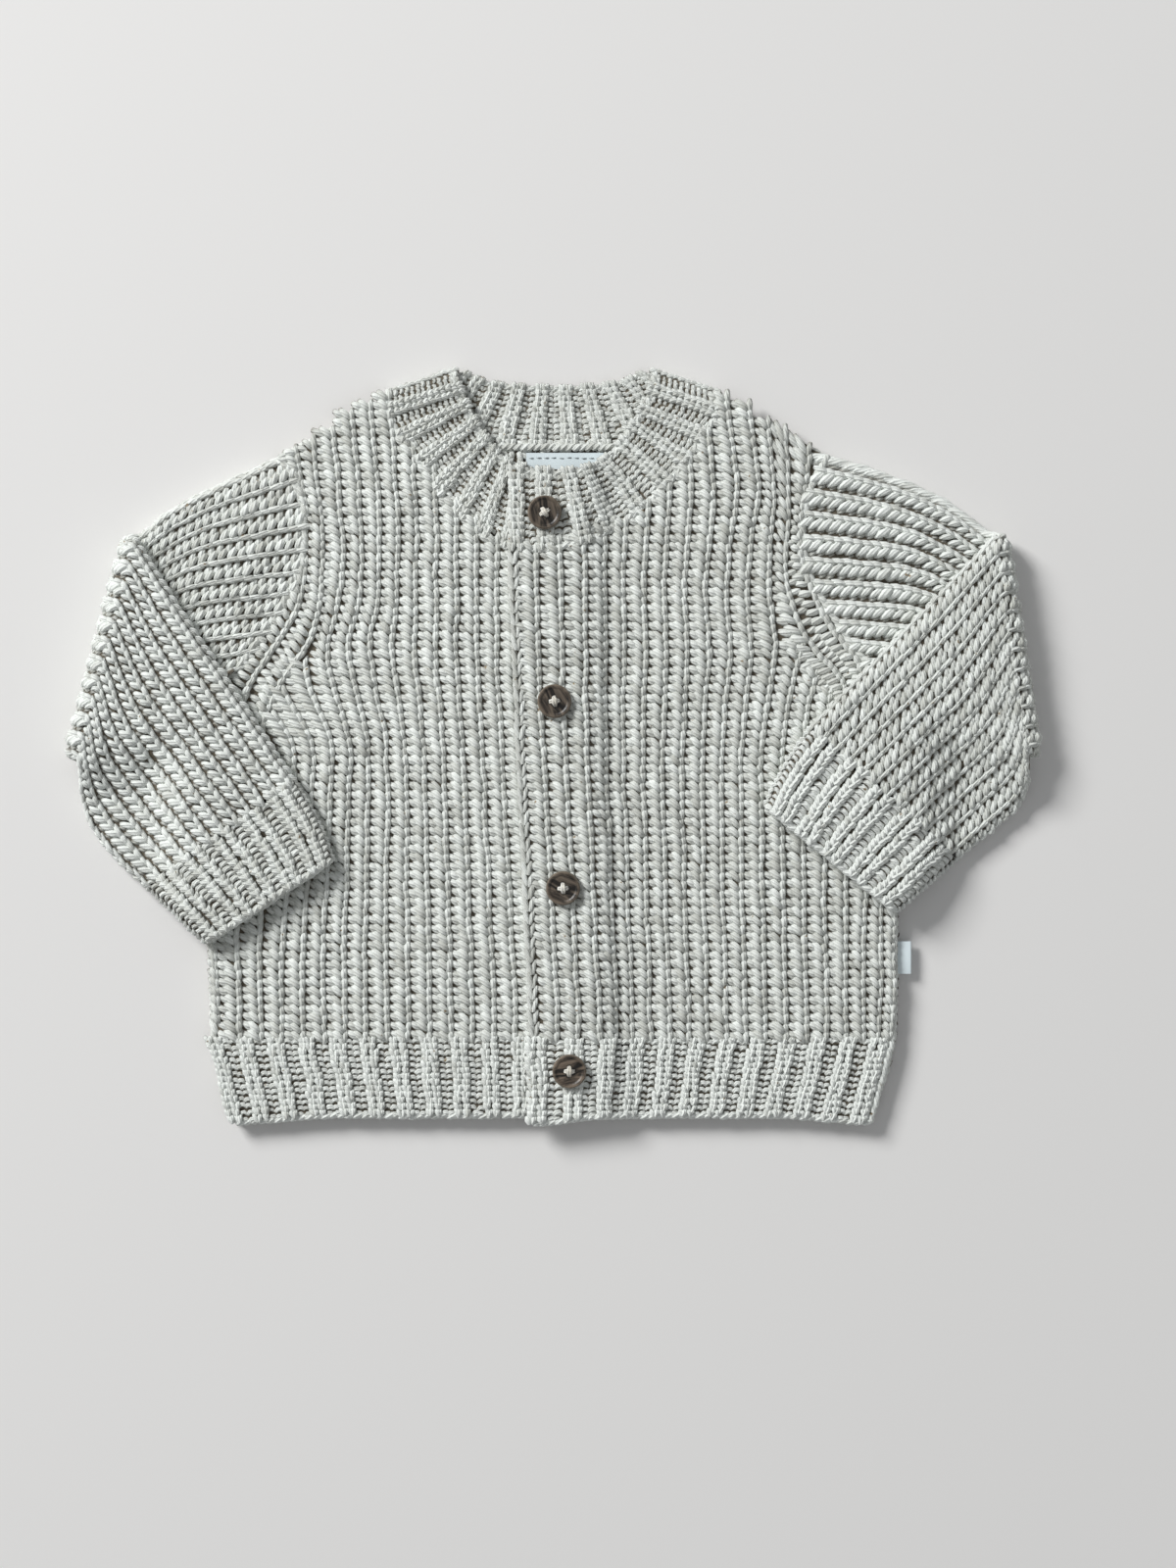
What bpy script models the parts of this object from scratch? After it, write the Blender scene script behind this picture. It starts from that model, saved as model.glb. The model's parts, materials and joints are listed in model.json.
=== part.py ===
"""Baby cardigan in chunky cream rib, buttoned up and laid flat, with both sleeves folded over the front.

Frame: metres, +Z up out of the surface the cardigan lies on, +Y towards the neck, and +X towards the
wearer's left. The origin is on that surface, under the middle of the cardigan's bounding box.

The tables below are in millimetres. In a table for one side of the garment the first coordinate runs
outwards from the centre line, so one row serves the wearer's left and, mirrored, the right.

The cloth lies in layers. Layer 0 rests on the surface: the back, and the back half of each sleeve. Layer 1
lies on it: the two fronts, and the front half of each sleeve. At the button line the left front climbs on
to the right one, as layer 2. Each sleeve turns over at a diagonal fold, so its forearm and cuff lie on top,
and the edge of the forearm that has nothing under it drops to the surface.
"""

import math

import bmesh
import bpy
import numpy as np

MM = 0.001
SMOOTH_BELOW = math.radians(35.0)
MERGE = 0.01  # points closer than this are one point
SHARES_APART = 0.02  # two sections are never closer than this share of the armhole

# The cloth
WALL = 3.2  # a chunky half fisherman's rib, laid flat
GAP = 0.3  # between pieces that are sewn together or lie on each other
LAYER = WALL + GAP
STACK = LAYER + WALL  # two walls, one on the other
EDGE_BEVEL = 1.1
FOLD_CLEARANCE = 0.25
FOLD_AXIS = STACK + FOLD_CLEARANCE  # height of the axis that a sleeve turns over about

# The body, all sizes from the centre line outwards and from the origin up
HEM_TOP = -120.4
HEM_MIDDLE = -152.8
HEM_CORNER = -155.6
SIDE_AT_HEM = 139.6
SIDE_AT_CORNER = 130.4
OVERLAP = 30.0  # of the left front on the right one
CLIMB = 9.0  # width of the slope by which the left front climbs on to the right one
CLIMB_COLUMNS = [0.0, 15.0, *[OVERLAP + GAP + CLIMB * part for part in (0.0, 0.25, 0.5, 0.75, 1.0)]]
COLUMNS = 12  # grid steps across a front or a hem
BACK_COLUMNS = 8  # grid steps across half of the back
HEM_ROWS = 4  # grid points down a hem
HEM_CORNER_START = 0.7  # where a hem starts to dip towards its side corner, as a share of its half width
BAND_TOP = 80.0
BAND_EDGE_AT_TOP = -18.6
BAND_SLANT = 0.0455  # the button line leans, the free edge moving to +X as it goes down

# Armhole seam, from the shoulder to the underarm
ARMHOLE = [
    # out, up
    (112.8, 119.2),
    (105.6, 106.0),
    (102.3, 90.0),
    (103.9, 74.5),
    (110.6, 60.0),
    (121.2, 43.5),
    (132.4, 30.0),
    (141.8, 22.7),
]

# Side seam, from the underarm to the hem rib
SIDE_SEAM = [
    # out, up
    (141.8, 22.7),
    (141.5, -20.0),
    (141.2, -70.0),
    (SIDE_AT_HEM, HEM_TOP),
]

BACK_YOKE_START = 88.0  # height on the armhole of the back's first section that ends at the neckline

# The neckband, from its free edge to its seam: the front half of one side, from the shoulder fold down
NECKBAND_FRONT = [
    # free out, free up, seam out, seam up
    (40.6, 152.6, 67.2, 143.9),
    (38.8, 146.4, 68.4, 136.9),
    (36.2, 140.6, 64.9, 126.9),
    (32.0, 132.8, 55.9, 116.9),
    (27.5, 126.0, 48.8, 106.4),
    (22.3, 120.0, 39.8, 95.9),
    (16.0, 115.9, 29.2, 87.9),
    (9.0, 114.3, 17.6, 83.2),
    (4.6, 114.1, 11.9, 82.0),
    (0.0, 114.0, 4.0, 80.9),
]
# and the back half, from the shoulder fold to the middle of the back
NECKBAND_BACK = [
    # free out, free up, seam out, seam up
    (36.0, 153.5, 56.2, 134.9),
    (27.0, 150.0, 42.0, 126.9),
    (14.0, 148.4, 20.0, 124.5),
    (0.0, 147.9, 0.0, 124.4),
]
NECKBAND_END_TOP = 113.8
BAND_CLIMB_SHIFT = 2.0  # the neckband's slope starts a little further out than the front's

# Sleeves: sections of the upper arm, then of the forearm as it lies folded back over the front, each from
# the overarm edge to the underarm edge. The upper arm starts at the armhole seam.
RIGHT_UPPER_ARM = [
    # over out, over up, under out, under up
    (137.0, 108.0, 160.0, 13.2),
    (158.0, 97.2, 178.0, 3.5),
    (170.3, 86.0, 194.8, -5.5),
]
RIGHT_FOREARM = [
    (170.3, 86.0, 194.8, -5.5),
    (152.0, 57.0, 192.8, -29.0),
    (130.5, 25.0, 181.0, -46.0),
    (104.6, -14.3, 168.0, -58.0),
]
RIGHT_CUFF = [
    (104.6, -14.3, 168.0, -58.0),
    (94.8, -31.0, 155.2, -69.6),
    (89.1, -46.4, 142.3, -81.3),
]
LEFT_UPPER_ARM = [
    # over out, over up, under out, under up
    (136.0, 112.0, 160.0, 13.4),
    (160.0, 102.0, 178.0, 4.0),
    (180.1, 86.5, 194.2, -5.0),
]
LEFT_FOREARM = [
    (180.1, 86.5, 194.2, -5.0),
    (152.5, 57.5, 194.0, -22.0),
    (129.5, 34.0, 181.0, -34.5),
    (104.2, 8.0, 166.7, -46.6),
]
LEFT_CUFF = [
    (104.2, 8.0, 166.7, -46.6),
    (93.2, -8.5, 153.4, -57.6),
    (85.7, -24.3, 140.4, -68.5),
]
FOLD_STEPS = 4  # sections round the half turn of a fold
EDGE_SHARE = 0.045  # the rounded part at each edge of a flat sleeve, as a share of its width
FLAT_SHARES = (0.12, 0.24, 0.36, 0.48, 0.6, 0.72, 0.84)  # points across a sleeve's flat faces
DROP_RUN = 19.0  # how far past its support the forearm's edge takes to reach the surface
SUPPORT_SIDE = 148.5  # a little past the side of the body, which carries the forearm
SUPPORT_BLEND = 3.0

# Buttons, down the middle of the overlap
BUTTONS = [
    # x, y, turn in degrees
    (-3.5, 95.5, 30.0),
    (0.5, 18.3, 8.0),
    (4.0, -58.1, 4.0),
    (6.6, -132.9, 0.0),
]
BUTTON_RADIUS = 7.0
BUTTON_THICKNESS = 2.8
BUTTON_RIM = 1.3
BUTTON_DISH = 0.5
BUTTON_HOLE_RADIUS = 0.95
BUTTON_HOLE_OFFSET = 1.9
THREAD_WIDTH = 1.1
THREAD_RISE = 0.7
BUTTON_STEPS = 28
HOLE_SIDES = 10
BUTTON_SEAT = 2 * LAYER + WALL + GAP

# Labels, both bare
NECK_LABEL_X = (-11.2, 21.0)
NECK_LABEL_Y = (107.5, 120.6)
LABEL_THICKNESS = 0.5
SIDE_LABEL_REACH = 5.6
SIDE_LABEL_Y = (-93.5, -80.2)
SIDE_LABEL_THICKNESS = 0.8

# Shares of the armhole seam's length at which a sleeve's flat section has its corners
SEAM_SHARES = [0.0, EDGE_SHARE, *FLAT_SHARES, 1 - EDGE_SHARE, 1.0]


def through(rows, count):
    """Count rows on the smooth curve through the table's rows, evenly spaced along the table."""
    rows = np.asarray(rows, dtype=float)
    before = 2 * rows[0] - rows[1]
    after = 2 * rows[-1] - rows[-2]
    padded = np.vstack([before, rows, after])
    made = []
    for place in np.linspace(0.0, len(rows) - 1.0, count):
        index = min(int(place), len(rows) - 2)
        t = place - index
        p0, p1, p2, p3 = padded[index : index + 4]
        square = 2 * p0 - 5 * p1 + 4 * p2 - p3
        cube = 3 * p1 - p0 - 3 * p2 + p3
        made.append(0.5 * (2 * p1 + (p2 - p0) * t + square * t**2 + cube * t**3))
    return np.array(made)


def straight(rows, count):
    """Count rows on the straight lines between the table's rows."""
    rows = np.asarray(rows, dtype=float)
    places = np.linspace(0.0, len(rows) - 1.0, count)
    return np.column_stack([np.interp(places, range(len(rows)), column) for column in rows.T])


def smooth_step(value):
    """0 below 0, 1 above 1, and a smooth slope between."""
    t = min(max(value, 0.0), 1.0)
    return t * t * (3 - 2 * t)


def finish(name, mesh_data, material):
    """One object from a bmesh in millimetres, with its faces pointing out."""
    bmesh.ops.scale(mesh_data, vec=(MM, MM, MM), verts=mesh_data.verts)
    bmesh.ops.recalc_face_normals(mesh_data, faces=mesh_data.faces)
    mesh = bpy.data.meshes.new(name)
    mesh_data.to_mesh(mesh)
    mesh_data.free()
    mesh.shade_smooth()
    mesh.set_sharp_from_angle(angle=SMOOTH_BELOW)
    mesh.materials.append(material)
    piece = bpy.data.objects.new(name, mesh)
    bpy.context.collection.objects.link(piece)
    return piece


def material_of(name, colour, roughness):
    """A plain finish for one kind of piece."""
    made = bpy.data.materials.new(name)
    made.use_nodes = True
    shader = made.node_tree.nodes["Principled BSDF"]
    shader.inputs["Base Color"].default_value = (*colour, 1.0)
    shader.inputs["Roughness"].default_value = roughness
    return made


# Flat panels


def band_edge(y):
    """X of the left front's free edge at height y."""
    return BAND_EDGE_AT_TOP + (BAND_TOP - y) * BAND_SLANT if y < BAND_TOP else BAND_EDGE_AT_TOP


def under_edge(y):
    """X of the right front's free edge, which the left front covers."""
    return band_edge(y) + OVERLAP


def climb(x, y):
    """How far the left front and its band stand above layer 1."""
    return LAYER * smooth_step((under_edge(y) + GAP + CLIMB - x) / CLIMB)


def layer_0(x, y):
    """Underside of what rests on the surface."""
    return 0.0


def layer_1(x, y):
    """Underside of what lies on the back."""
    return LAYER


def climbing_layer(x, y):
    """Underside of the left front and its hem."""
    return LAYER + climb(x, y)


def columns(length, fixed):
    """Shares along a section: first the fixed distances from its start, then even steps to its end."""
    rest = COLUMNS - len(fixed) + 1
    places = [*fixed, *np.linspace(fixed[-1], length, rest + 1)[1:]]
    return np.array(places) / length


def laid(start, end, shares):
    """Points on the line from start to end at the given shares of it."""
    start = np.array(start)
    end = np.array(end)
    return [start * (1 - share) + end * share for share in shares]


def plate(name, sections, floor, material):
    """A wall over a grid of sections, each a row of (x, y) points; floor gives its underside's height."""
    grid = bmesh.new()
    rows = [[grid.verts.new((x, y, 0.0)) for x, y in section] for section in sections]
    for low, high in zip(rows, rows[1:]):
        for a, b, c, d in zip(low, low[1:], high[1:], high):
            grid.faces.new((a, b, c, d))
    bmesh.ops.remove_doubles(grid, verts=grid.verts, dist=MERGE)
    raised = bmesh.ops.extrude_face_region(grid, geom=grid.faces[:])["geom"]
    top = [item for item in raised if isinstance(item, bmesh.types.BMVert)]
    top_set = set(top)
    for vertex in grid.verts:
        x, y, _ = vertex.co
        vertex.co.z = floor(x, y) + (WALL if vertex in top_set else 0.0)
    walls = {face for face in grid.faces if not all(v in top_set for v in face.verts)}
    rim = [
        edge
        for edge in grid.edges
        if all(v in top_set for v in edge.verts) and any(face in walls for face in edge.link_faces)
    ]
    bmesh.ops.bevel(grid, geom=rim, offset=EDGE_BEVEL, segments=1, affect="EDGES")
    for vertex in grid.verts:
        x, y, z = vertex.co
        vertex.co.z = min(z, floor(x, y) + WALL)
    bmesh.ops.triangulate(grid, faces=grid.faces)
    return finish(name, grid, material)


def armhole(shares):
    """Points on the armhole seam at shares of its length from the shoulder.

    The seam runs straight between the points where a sleeve's own section has its corners, so that the
    sleeve and the panels meet along one line.
    """
    smooth = through(ARMHOLE, 200)
    run = np.concatenate([[0.0], np.cumsum(np.linalg.norm(np.diff(smooth, axis=0), axis=1))])
    corners = np.array(SEAM_SHARES) * run[-1]
    places = np.array(shares)
    return np.column_stack(
        [np.interp(places, SEAM_SHARES, np.interp(corners, run, smooth[:, axis])) for axis in range(2)]
    )


def armhole_share(y):
    """Share of the armhole seam's length at height y."""
    heights = armhole(SEAM_SHARES)[:, 1]
    return float(np.interp(y, heights[::-1], SEAM_SHARES[::-1]))


def outer_edge(top):
    """Points up the side seam and the armhole seam, to the height top."""
    last = armhole_share(top)
    shares = [share for share in SEAM_SHARES[::-1] if share > last + SHARES_APART]
    return np.vstack([through(SIDE_SEAM, 5)[::-1], armhole([*shares[1:], last])])


def seam_line(rows, away):
    """The neckline seam of some neckband rows, moved away from the neck opening."""
    seam = np.array(rows, dtype=float)[:, 2:]
    way = np.gradient(seam, axis=0)
    way /= np.linalg.norm(way, axis=1)[:, None]
    return seam + away * np.column_stack([-way[:, 1], way[:, 0]])


def yoke_rows(band_rows, start):
    """A panel's sections from the neckline to the armhole, the last one along the shoulder."""
    neckline = seam_line(band_rows, 0.5 * GAP)[::-1]
    first = armhole_share(start)
    even = np.linspace(0.0, 1.0, len(neckline))
    corners = [1 - share / first for share in SEAM_SHARES if share < first - SHARES_APART]
    places = np.unique(np.round([*even, *corners], 3))
    necks = np.column_stack([np.interp(places, even, neckline[:, axis]) for axis in range(2)])
    arms = armhole(first * (1 - places))
    return [((neck[0], neck[1]), (arm[0] - 0.5 * GAP, arm[1])) for neck, arm in zip(necks, arms)]


def front(name, side, material):
    """One front, from the hem rib to the shoulder; side is 1 for the wearer's left."""
    on_top = side > 0
    edge = band_edge if on_top else under_edge
    fixed = CLIMB_COLUMNS if on_top else [0.0]
    sections = []
    for out, y in outer_edge(BAND_TOP - GAP):
        start, end = (edge(y), y), (side * (out - 0.5 * GAP), y)
        sections.append(laid(start, end, columns(abs(end[0] - start[0]), fixed)))
    # Past the band the slope's own columns run out one by one at the neckline
    for neck, arm in yoke_rows(NECKBAND_FRONT, BAND_TOP + GAP):
        start, end = (side * neck[0], neck[1]), (side * arm[0], arm[1])
        span = abs(end[0] - start[0])
        passed = side * (start[0] - edge(BAND_TOP))
        left = [max(0.0, distance - passed) for distance in fixed]
        sections.append(laid(start, end, columns(span, left)))
    return plate(name, sections, climbing_layer if on_top else layer_1, material)


def hem_bottom(x, edge_x):
    """Height of a hem's lower edge: lowest at its side corner, and a little lower at the band."""
    corner = smooth_step((abs(x) / SIDE_AT_CORNER - HEM_CORNER_START) / (1.0 - HEM_CORNER_START))
    band = smooth_step(1.0 - abs(x - edge_x) / OVERLAP)
    return HEM_MIDDLE + (HEM_CORNER - HEM_MIDDLE) * max(corner, band)


def hem(name, start, end, floor, material, fixed=(0.0,), edge_x=math.inf):
    """A hem rib between two ends, each given as (x at the top, x at the bottom)."""
    sections = []
    for down in np.linspace(0.0, 1.0, HEM_ROWS):
        first = start[0] * (1 - down) + start[1] * down
        last = end[0] * (1 - down) + end[1] * down
        top = HEM_TOP - GAP
        row = []
        for share in columns(abs(last - first), fixed):
            x = first * (1 - share) + last * share
            row.append((x, top + (hem_bottom(x, edge_x) - top) * down))
        sections.append(row)
    return plate(name, sections, floor, material)


def back(name, material):
    """The back, one panel: each section runs from the left seam over the middle to the right seam."""
    half = [((0.0, y), (out - 0.5 * GAP, y)) for out, y in outer_edge(BACK_YOKE_START - GAP)]
    half += yoke_rows([NECKBAND_FRONT[0], *NECKBAND_BACK], BACK_YOKE_START)

    # The two halves meet on the centre line below the neckline, where their points merge
    sheet = bmesh.new()
    for side in (-1, 1):
        rows = []
        for section in half:
            points = straight(section, BACK_COLUMNS + 1)
            rows.append([sheet.verts.new((side * x, y, 0.0)) for x, y in points])
        for low, high in zip(rows, rows[1:]):
            for a, b, c, d in zip(low, low[1:], high[1:], high):
                sheet.faces.new((a, b, c, d))
    bmesh.ops.remove_doubles(sheet, verts=sheet.verts, dist=MERGE)
    raised = bmesh.ops.extrude_face_region(sheet, geom=sheet.faces[:])["geom"]
    for item in raised:
        if isinstance(item, bmesh.types.BMVert):
            item.co.z = WALL
    bmesh.ops.triangulate(sheet, faces=sheet.faces)
    panel = finish(name, sheet, material)

    # The neck label is pressed into the knit
    low = (NECK_LABEL_X[0] - GAP, NECK_LABEL_Y[0] - GAP, WALL - LABEL_THICKNESS - GAP)
    high = (NECK_LABEL_X[1] + GAP, NECK_LABEL_Y[1] + GAP, 2 * WALL)
    recess = slab("label_recess", low, high, material)
    recess.hide_render = True
    recess.display_type = "WIRE"
    cut = panel.modifiers.new("label_recess", "BOOLEAN")
    cut.object = recess
    cut.operation = "DIFFERENCE"


# Neckband


def sewn(rows):
    """Neckband rows with the seam edge moved half a gap off the seam."""
    return np.hstack([np.array(rows, dtype=float)[:, :2], seam_line(rows, -0.5 * GAP)])


def neckband(name, material):
    """The neckband in one strip: under end, right front, shoulder fold, back, fold, left front, over end.

    Each section is a line from the free edge to the seam edge, with the height of the strip's middle and
    the turn of its outer face: 0 degrees faces up, as in front, and 180 faces down, as on the back.
    """
    half_front = sewn(NECKBAND_FRONT)
    half_back = sewn([NECKBAND_FRONT[0], *NECKBAND_BACK])
    front_rows = straight(half_front, 2 * len(half_front) - 1)
    back_rows = straight(half_back, 2 * len(half_back) - 1)[1:]
    sections = []

    def add(side, row, height, turn=0.0, push=(0.0, 0.0), climbs=False):
        free = np.array([side * row[0] + push[0], row[1] + push[1]])
        seam = np.array([side * row[2] + push[0], row[3] + push[1]])
        sections.append((free, seam, height, turn, climbs))

    def fold(side, turns):
        """The strip turning over the shoulder, about a line along its own shoulder section."""
        row = front_rows[0]
        along = np.array([side * (row[2] - row[0]), row[3] - row[1]])
        along /= np.linalg.norm(along)
        outward = np.array([-along[1], along[0]]) * side
        axis_height = 0.5 * STACK
        for turn in turns:
            angle = math.radians(turn)
            push = outward * (0.5 * LAYER * math.sin(angle))
            add(side, row, axis_height + 0.5 * LAYER * math.cos(angle), turn, push)

    level_1 = LAYER + 0.5 * WALL
    level_0 = 0.5 * WALL
    end_x = under_edge(BAND_TOP)
    add(-1, (-end_x, NECKBAND_END_TOP, -end_x, BAND_TOP + GAP), level_1)
    add(-1, (-0.5 * end_x, NECKBAND_END_TOP, -0.5 * end_x, BAND_TOP + GAP), level_1)
    for row in front_rows[:0:-1]:
        add(-1, row, level_1)
    fold(-1, (0, 45, 90, 135, 180))
    for row in back_rows:
        add(-1, row, level_0, 180.0)
    for row in back_rows[-2::-1]:
        add(1, row, level_0, 180.0)
    fold(1, (180, 135, 90, 45, 0))
    for row in front_rows[1:]:
        add(1, row, level_1, climbs=True)
    edge = BAND_EDGE_AT_TOP
    for x in (0.5 * edge, edge):
        add(1, (x, NECKBAND_END_TOP, x, BAND_TOP + GAP), level_1, climbs=True)

    strip = bmesh.new()
    rings = []
    for free, seam, height, turn, climbs in sections:
        angle = math.radians(turn)
        side_way = seam - free
        side_way = side_way / np.linalg.norm(side_way)
        outward = np.array([-side_way[1], side_way[0]])
        if outward[0] * (free[0] + seam[0]) < 0:
            outward = -outward
        face = np.array([outward[0] * math.sin(angle), outward[1] * math.sin(angle), math.cos(angle)])
        ring = []
        for sign, ends in ((1, (free, 0.5 * (free + seam), seam)), (-1, (seam, 0.5 * (free + seam), free))):
            for point in ends:
                rise = climb(point[0] - BAND_CLIMB_SHIFT, BAND_TOP) if climbs else 0.0
                place = np.array([point[0], point[1], height + rise]) + sign * 0.5 * WALL * face
                ring.append(strip.verts.new(place))
        rings.append(ring)
    size = len(rings[0])
    for low, high in zip(rings, rings[1:]):
        for i in range(size):
            j = (i + 1) % size
            strip.faces.new((low[i], low[j], high[j], high[i]))
    strip.faces.new(rings[0])
    strip.faces.new(rings[-1][::-1])
    bmesh.ops.triangulate(strip, faces=strip.faces)
    return finish(name, strip, material)


# Sleeves

# A sleeve's cross-section: share of the way from the overarm edge to the underarm edge, and height in the
# flat stack as a share of it
OVER_EDGE = [(0.3 * EDGE_SHARE, 0.14), (0.0, 0.5), (0.3 * EDGE_SHARE, 0.86)]
UNDER_EDGE = [(1 - across, 1 - height) for across, height in OVER_EDGE]
TOP_FACE = [(share, 1.0) for share in (EDGE_SHARE, *FLAT_SHARES, 1 - EDGE_SHARE)]
BOTTOM_FACE = [(share, 0.0) for share, _ in reversed(TOP_FACE)]
OUTER_RING = [*OVER_EDGE, *TOP_FACE, *UNDER_EDGE, *BOTTOM_FACE]


def inner_ring():
    """The hollow of the tube: a flat slit one gap high, a wall inside the outer ring."""
    width = 1 - 2 * EDGE_SHARE
    return [(EDGE_SHARE + width * across, WALL + GAP * height) for across, height in OUTER_RING]


def crossways(row, across):
    """Points of a section at each share of the way from its overarm end to its underarm end."""
    over = np.array(row[:2])
    under = np.array(row[2:])
    return np.array([over * (1 - t) + under * t for t in across])


def free_span(point, line_start, line_end):
    """How far a point lies past everything that carries the forearm; 0 or less where it is carried."""
    way = (line_end - line_start) / np.linalg.norm(line_end - line_start)
    below = np.array([way[1], -way[0]])
    past_side = point[0] - SUPPORT_SIDE
    past_arm = float(np.dot(point - line_start, below))
    k = SUPPORT_BLEND
    return -k * math.log(math.exp(-past_side / k) + math.exp(-past_arm / k))


def sleeve_sections(upper_arm, forearm, cuff, across):
    """Every section of the sleeve as (plan points, turn), the turn running from 0 to pi over the fold.

    Returns the sleeve's sections and the cuff's.
    """
    first = armhole(across)
    first[:, 0] += 0.5 * GAP
    rows = np.array([first, *[crossways(row, across) for row in upper_arm]])
    upper = through(rows.reshape(len(rows), -1), 5).reshape(5, -1, 2)
    lower = through([crossways(row, across).ravel() for row in forearm], 6).reshape(6, -1, 2)
    wrist = through([crossways(row, across).ravel() for row in cuff], 4).reshape(4, -1, 2)
    seam_gap = wrist[1] - wrist[0]
    seam_gap = GAP * seam_gap / np.linalg.norm(seam_gap, axis=1)[:, None]
    wrist[0] += seam_gap
    sleeve = [(points, 0.0) for points in upper]
    fold_line = upper[-1]
    sleeve += [(fold_line, math.pi * step / FOLD_STEPS) for step in range(1, FOLD_STEPS)]
    sleeve += [(points, math.pi) for points in lower]
    return sleeve, [(points, math.pi) for points in wrist]


def tube(name, sections, side, fold_out, line, material):
    """A flattened tube through the sections, mirrored to its side of the garment."""
    shell = bmesh.new()
    rings = []
    for points, turn in sections:
        half = len(points) // 2
        ring_pair = []
        for ring, places in ((OUTER_RING, points[:half]), (inner_ring(), points[half:])):
            made = []
            for (_, level), (out, up) in zip(ring, places):
                height = level * STACK if ring is OUTER_RING else level
                radius = FOLD_AXIS - height
                out += fold_out[0] * radius * math.sin(turn)
                up += fold_out[1] * radius * math.sin(turn)
                z = FOLD_AXIS - radius * math.cos(turn)
                span = free_span(np.array([out, up]), *line)
                z -= (2 * FOLD_AXIS - STACK) * smooth_step(span / DROP_RUN) * turn / math.pi
                made.append(shell.verts.new((side * out, up, z)))
            ring_pair.append(made)
        rings.append(ring_pair)
    size = len(OUTER_RING)
    for low, high in zip(rings, rings[1:]):
        for layer in (0, 1):
            for i in range(size):
                j = (i + 1) % size
                shell.faces.new((low[layer][i], low[layer][j], high[layer][j], high[layer][i]))
    for outer, inner in (rings[0], rings[-1]):
        for i in range(size):
            j = (i + 1) % size
            shell.faces.new((outer[i], outer[j], inner[j], inner[i]))
    bmesh.ops.triangulate(shell, faces=shell.faces)
    return finish(name, shell, material)


def sleeve(word, side, upper_arm, forearm, cuff, knit, rib):
    """A sleeve and its cuff; side is 1 for the wearer's left."""
    across = [t for t, _ in OUTER_RING] + [t for t, _ in inner_ring()]
    arm, wrist = sleeve_sections(upper_arm, forearm, cuff, across)
    over = np.array(forearm[0][:2])
    under = np.array(forearm[0][2:])
    along = (under - over) / np.linalg.norm(under - over)
    fold_out = (-along[1], along[0])
    line = (np.array(ARMHOLE[-1]), under)
    tube(f"{word}_sleeve", arm, side, fold_out, line, knit)
    tube(f"{word}_cuff", wrist, side, fold_out, line, rib)


# Buttons and labels


def cutter(name, location, radius, depth):
    """A round cutter that the build leaves out."""
    bpy.ops.mesh.primitive_cylinder_add(vertices=HOLE_SIDES, radius=radius, depth=depth, location=location)
    made = bpy.context.object
    made.name = name
    made.hide_render = True
    made.display_type = "WIRE"
    return made


def button(number, x, y, turn, material, thread_material):
    """A dished four-hole button with a raised rim, and the thread cross that holds it."""
    top = BUTTON_THICKNESS
    profile = [
        # radius, height
        (0.0, 0.0),
        (BUTTON_RADIUS - 1.4, 0.0),
        (BUTTON_RADIUS - 0.4, 0.5),
        (BUTTON_RADIUS, 1.3),
        (BUTTON_RADIUS - 0.2, top - 0.4),
        (BUTTON_RADIUS - 0.6, top),
        (BUTTON_RADIUS - BUTTON_RIM, top - 0.1),
        (BUTTON_RADIUS - BUTTON_RIM - 0.7, top - BUTTON_DISH),
        (0.0, top - BUTTON_DISH),
    ]
    disc = bmesh.new()
    points = [disc.verts.new((radius, 0.0, height)) for radius, height in profile]
    edges = [disc.edges.new(pair) for pair in zip(points, points[1:])]
    outline = points + edges
    bmesh.ops.spin(disc, geom=outline, cent=(0, 0, 0), axis=(0, 0, 1), angle=math.tau, steps=BUTTON_STEPS)
    bmesh.ops.remove_doubles(disc, verts=disc.verts, dist=MERGE)
    piece = finish(f"button_{number}", disc, material)
    place = np.array([x, y, BUTTON_SEAT]) * MM
    piece.location = place
    piece.rotation_euler = (0.0, 0.0, math.radians(turn))
    for index in range(4):
        angle = math.radians(turn + 90 * index)
        offset = np.array([math.cos(angle), math.sin(angle), 0.0]) * BUTTON_HOLE_OFFSET * MM
        middle = place + offset + np.array([0.0, 0.0, 0.5 * top]) * MM
        hole = cutter(f"hole_{number}_{index}", middle, BUTTON_HOLE_RADIUS * MM, 2 * top * MM)
        cut = piece.modifiers.new(f"hole_{index}", "BOOLEAN")
        cut.object = hole
        cut.operation = "DIFFERENCE"
    thread_cross(number, x, y, turn, thread_material)


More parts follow.
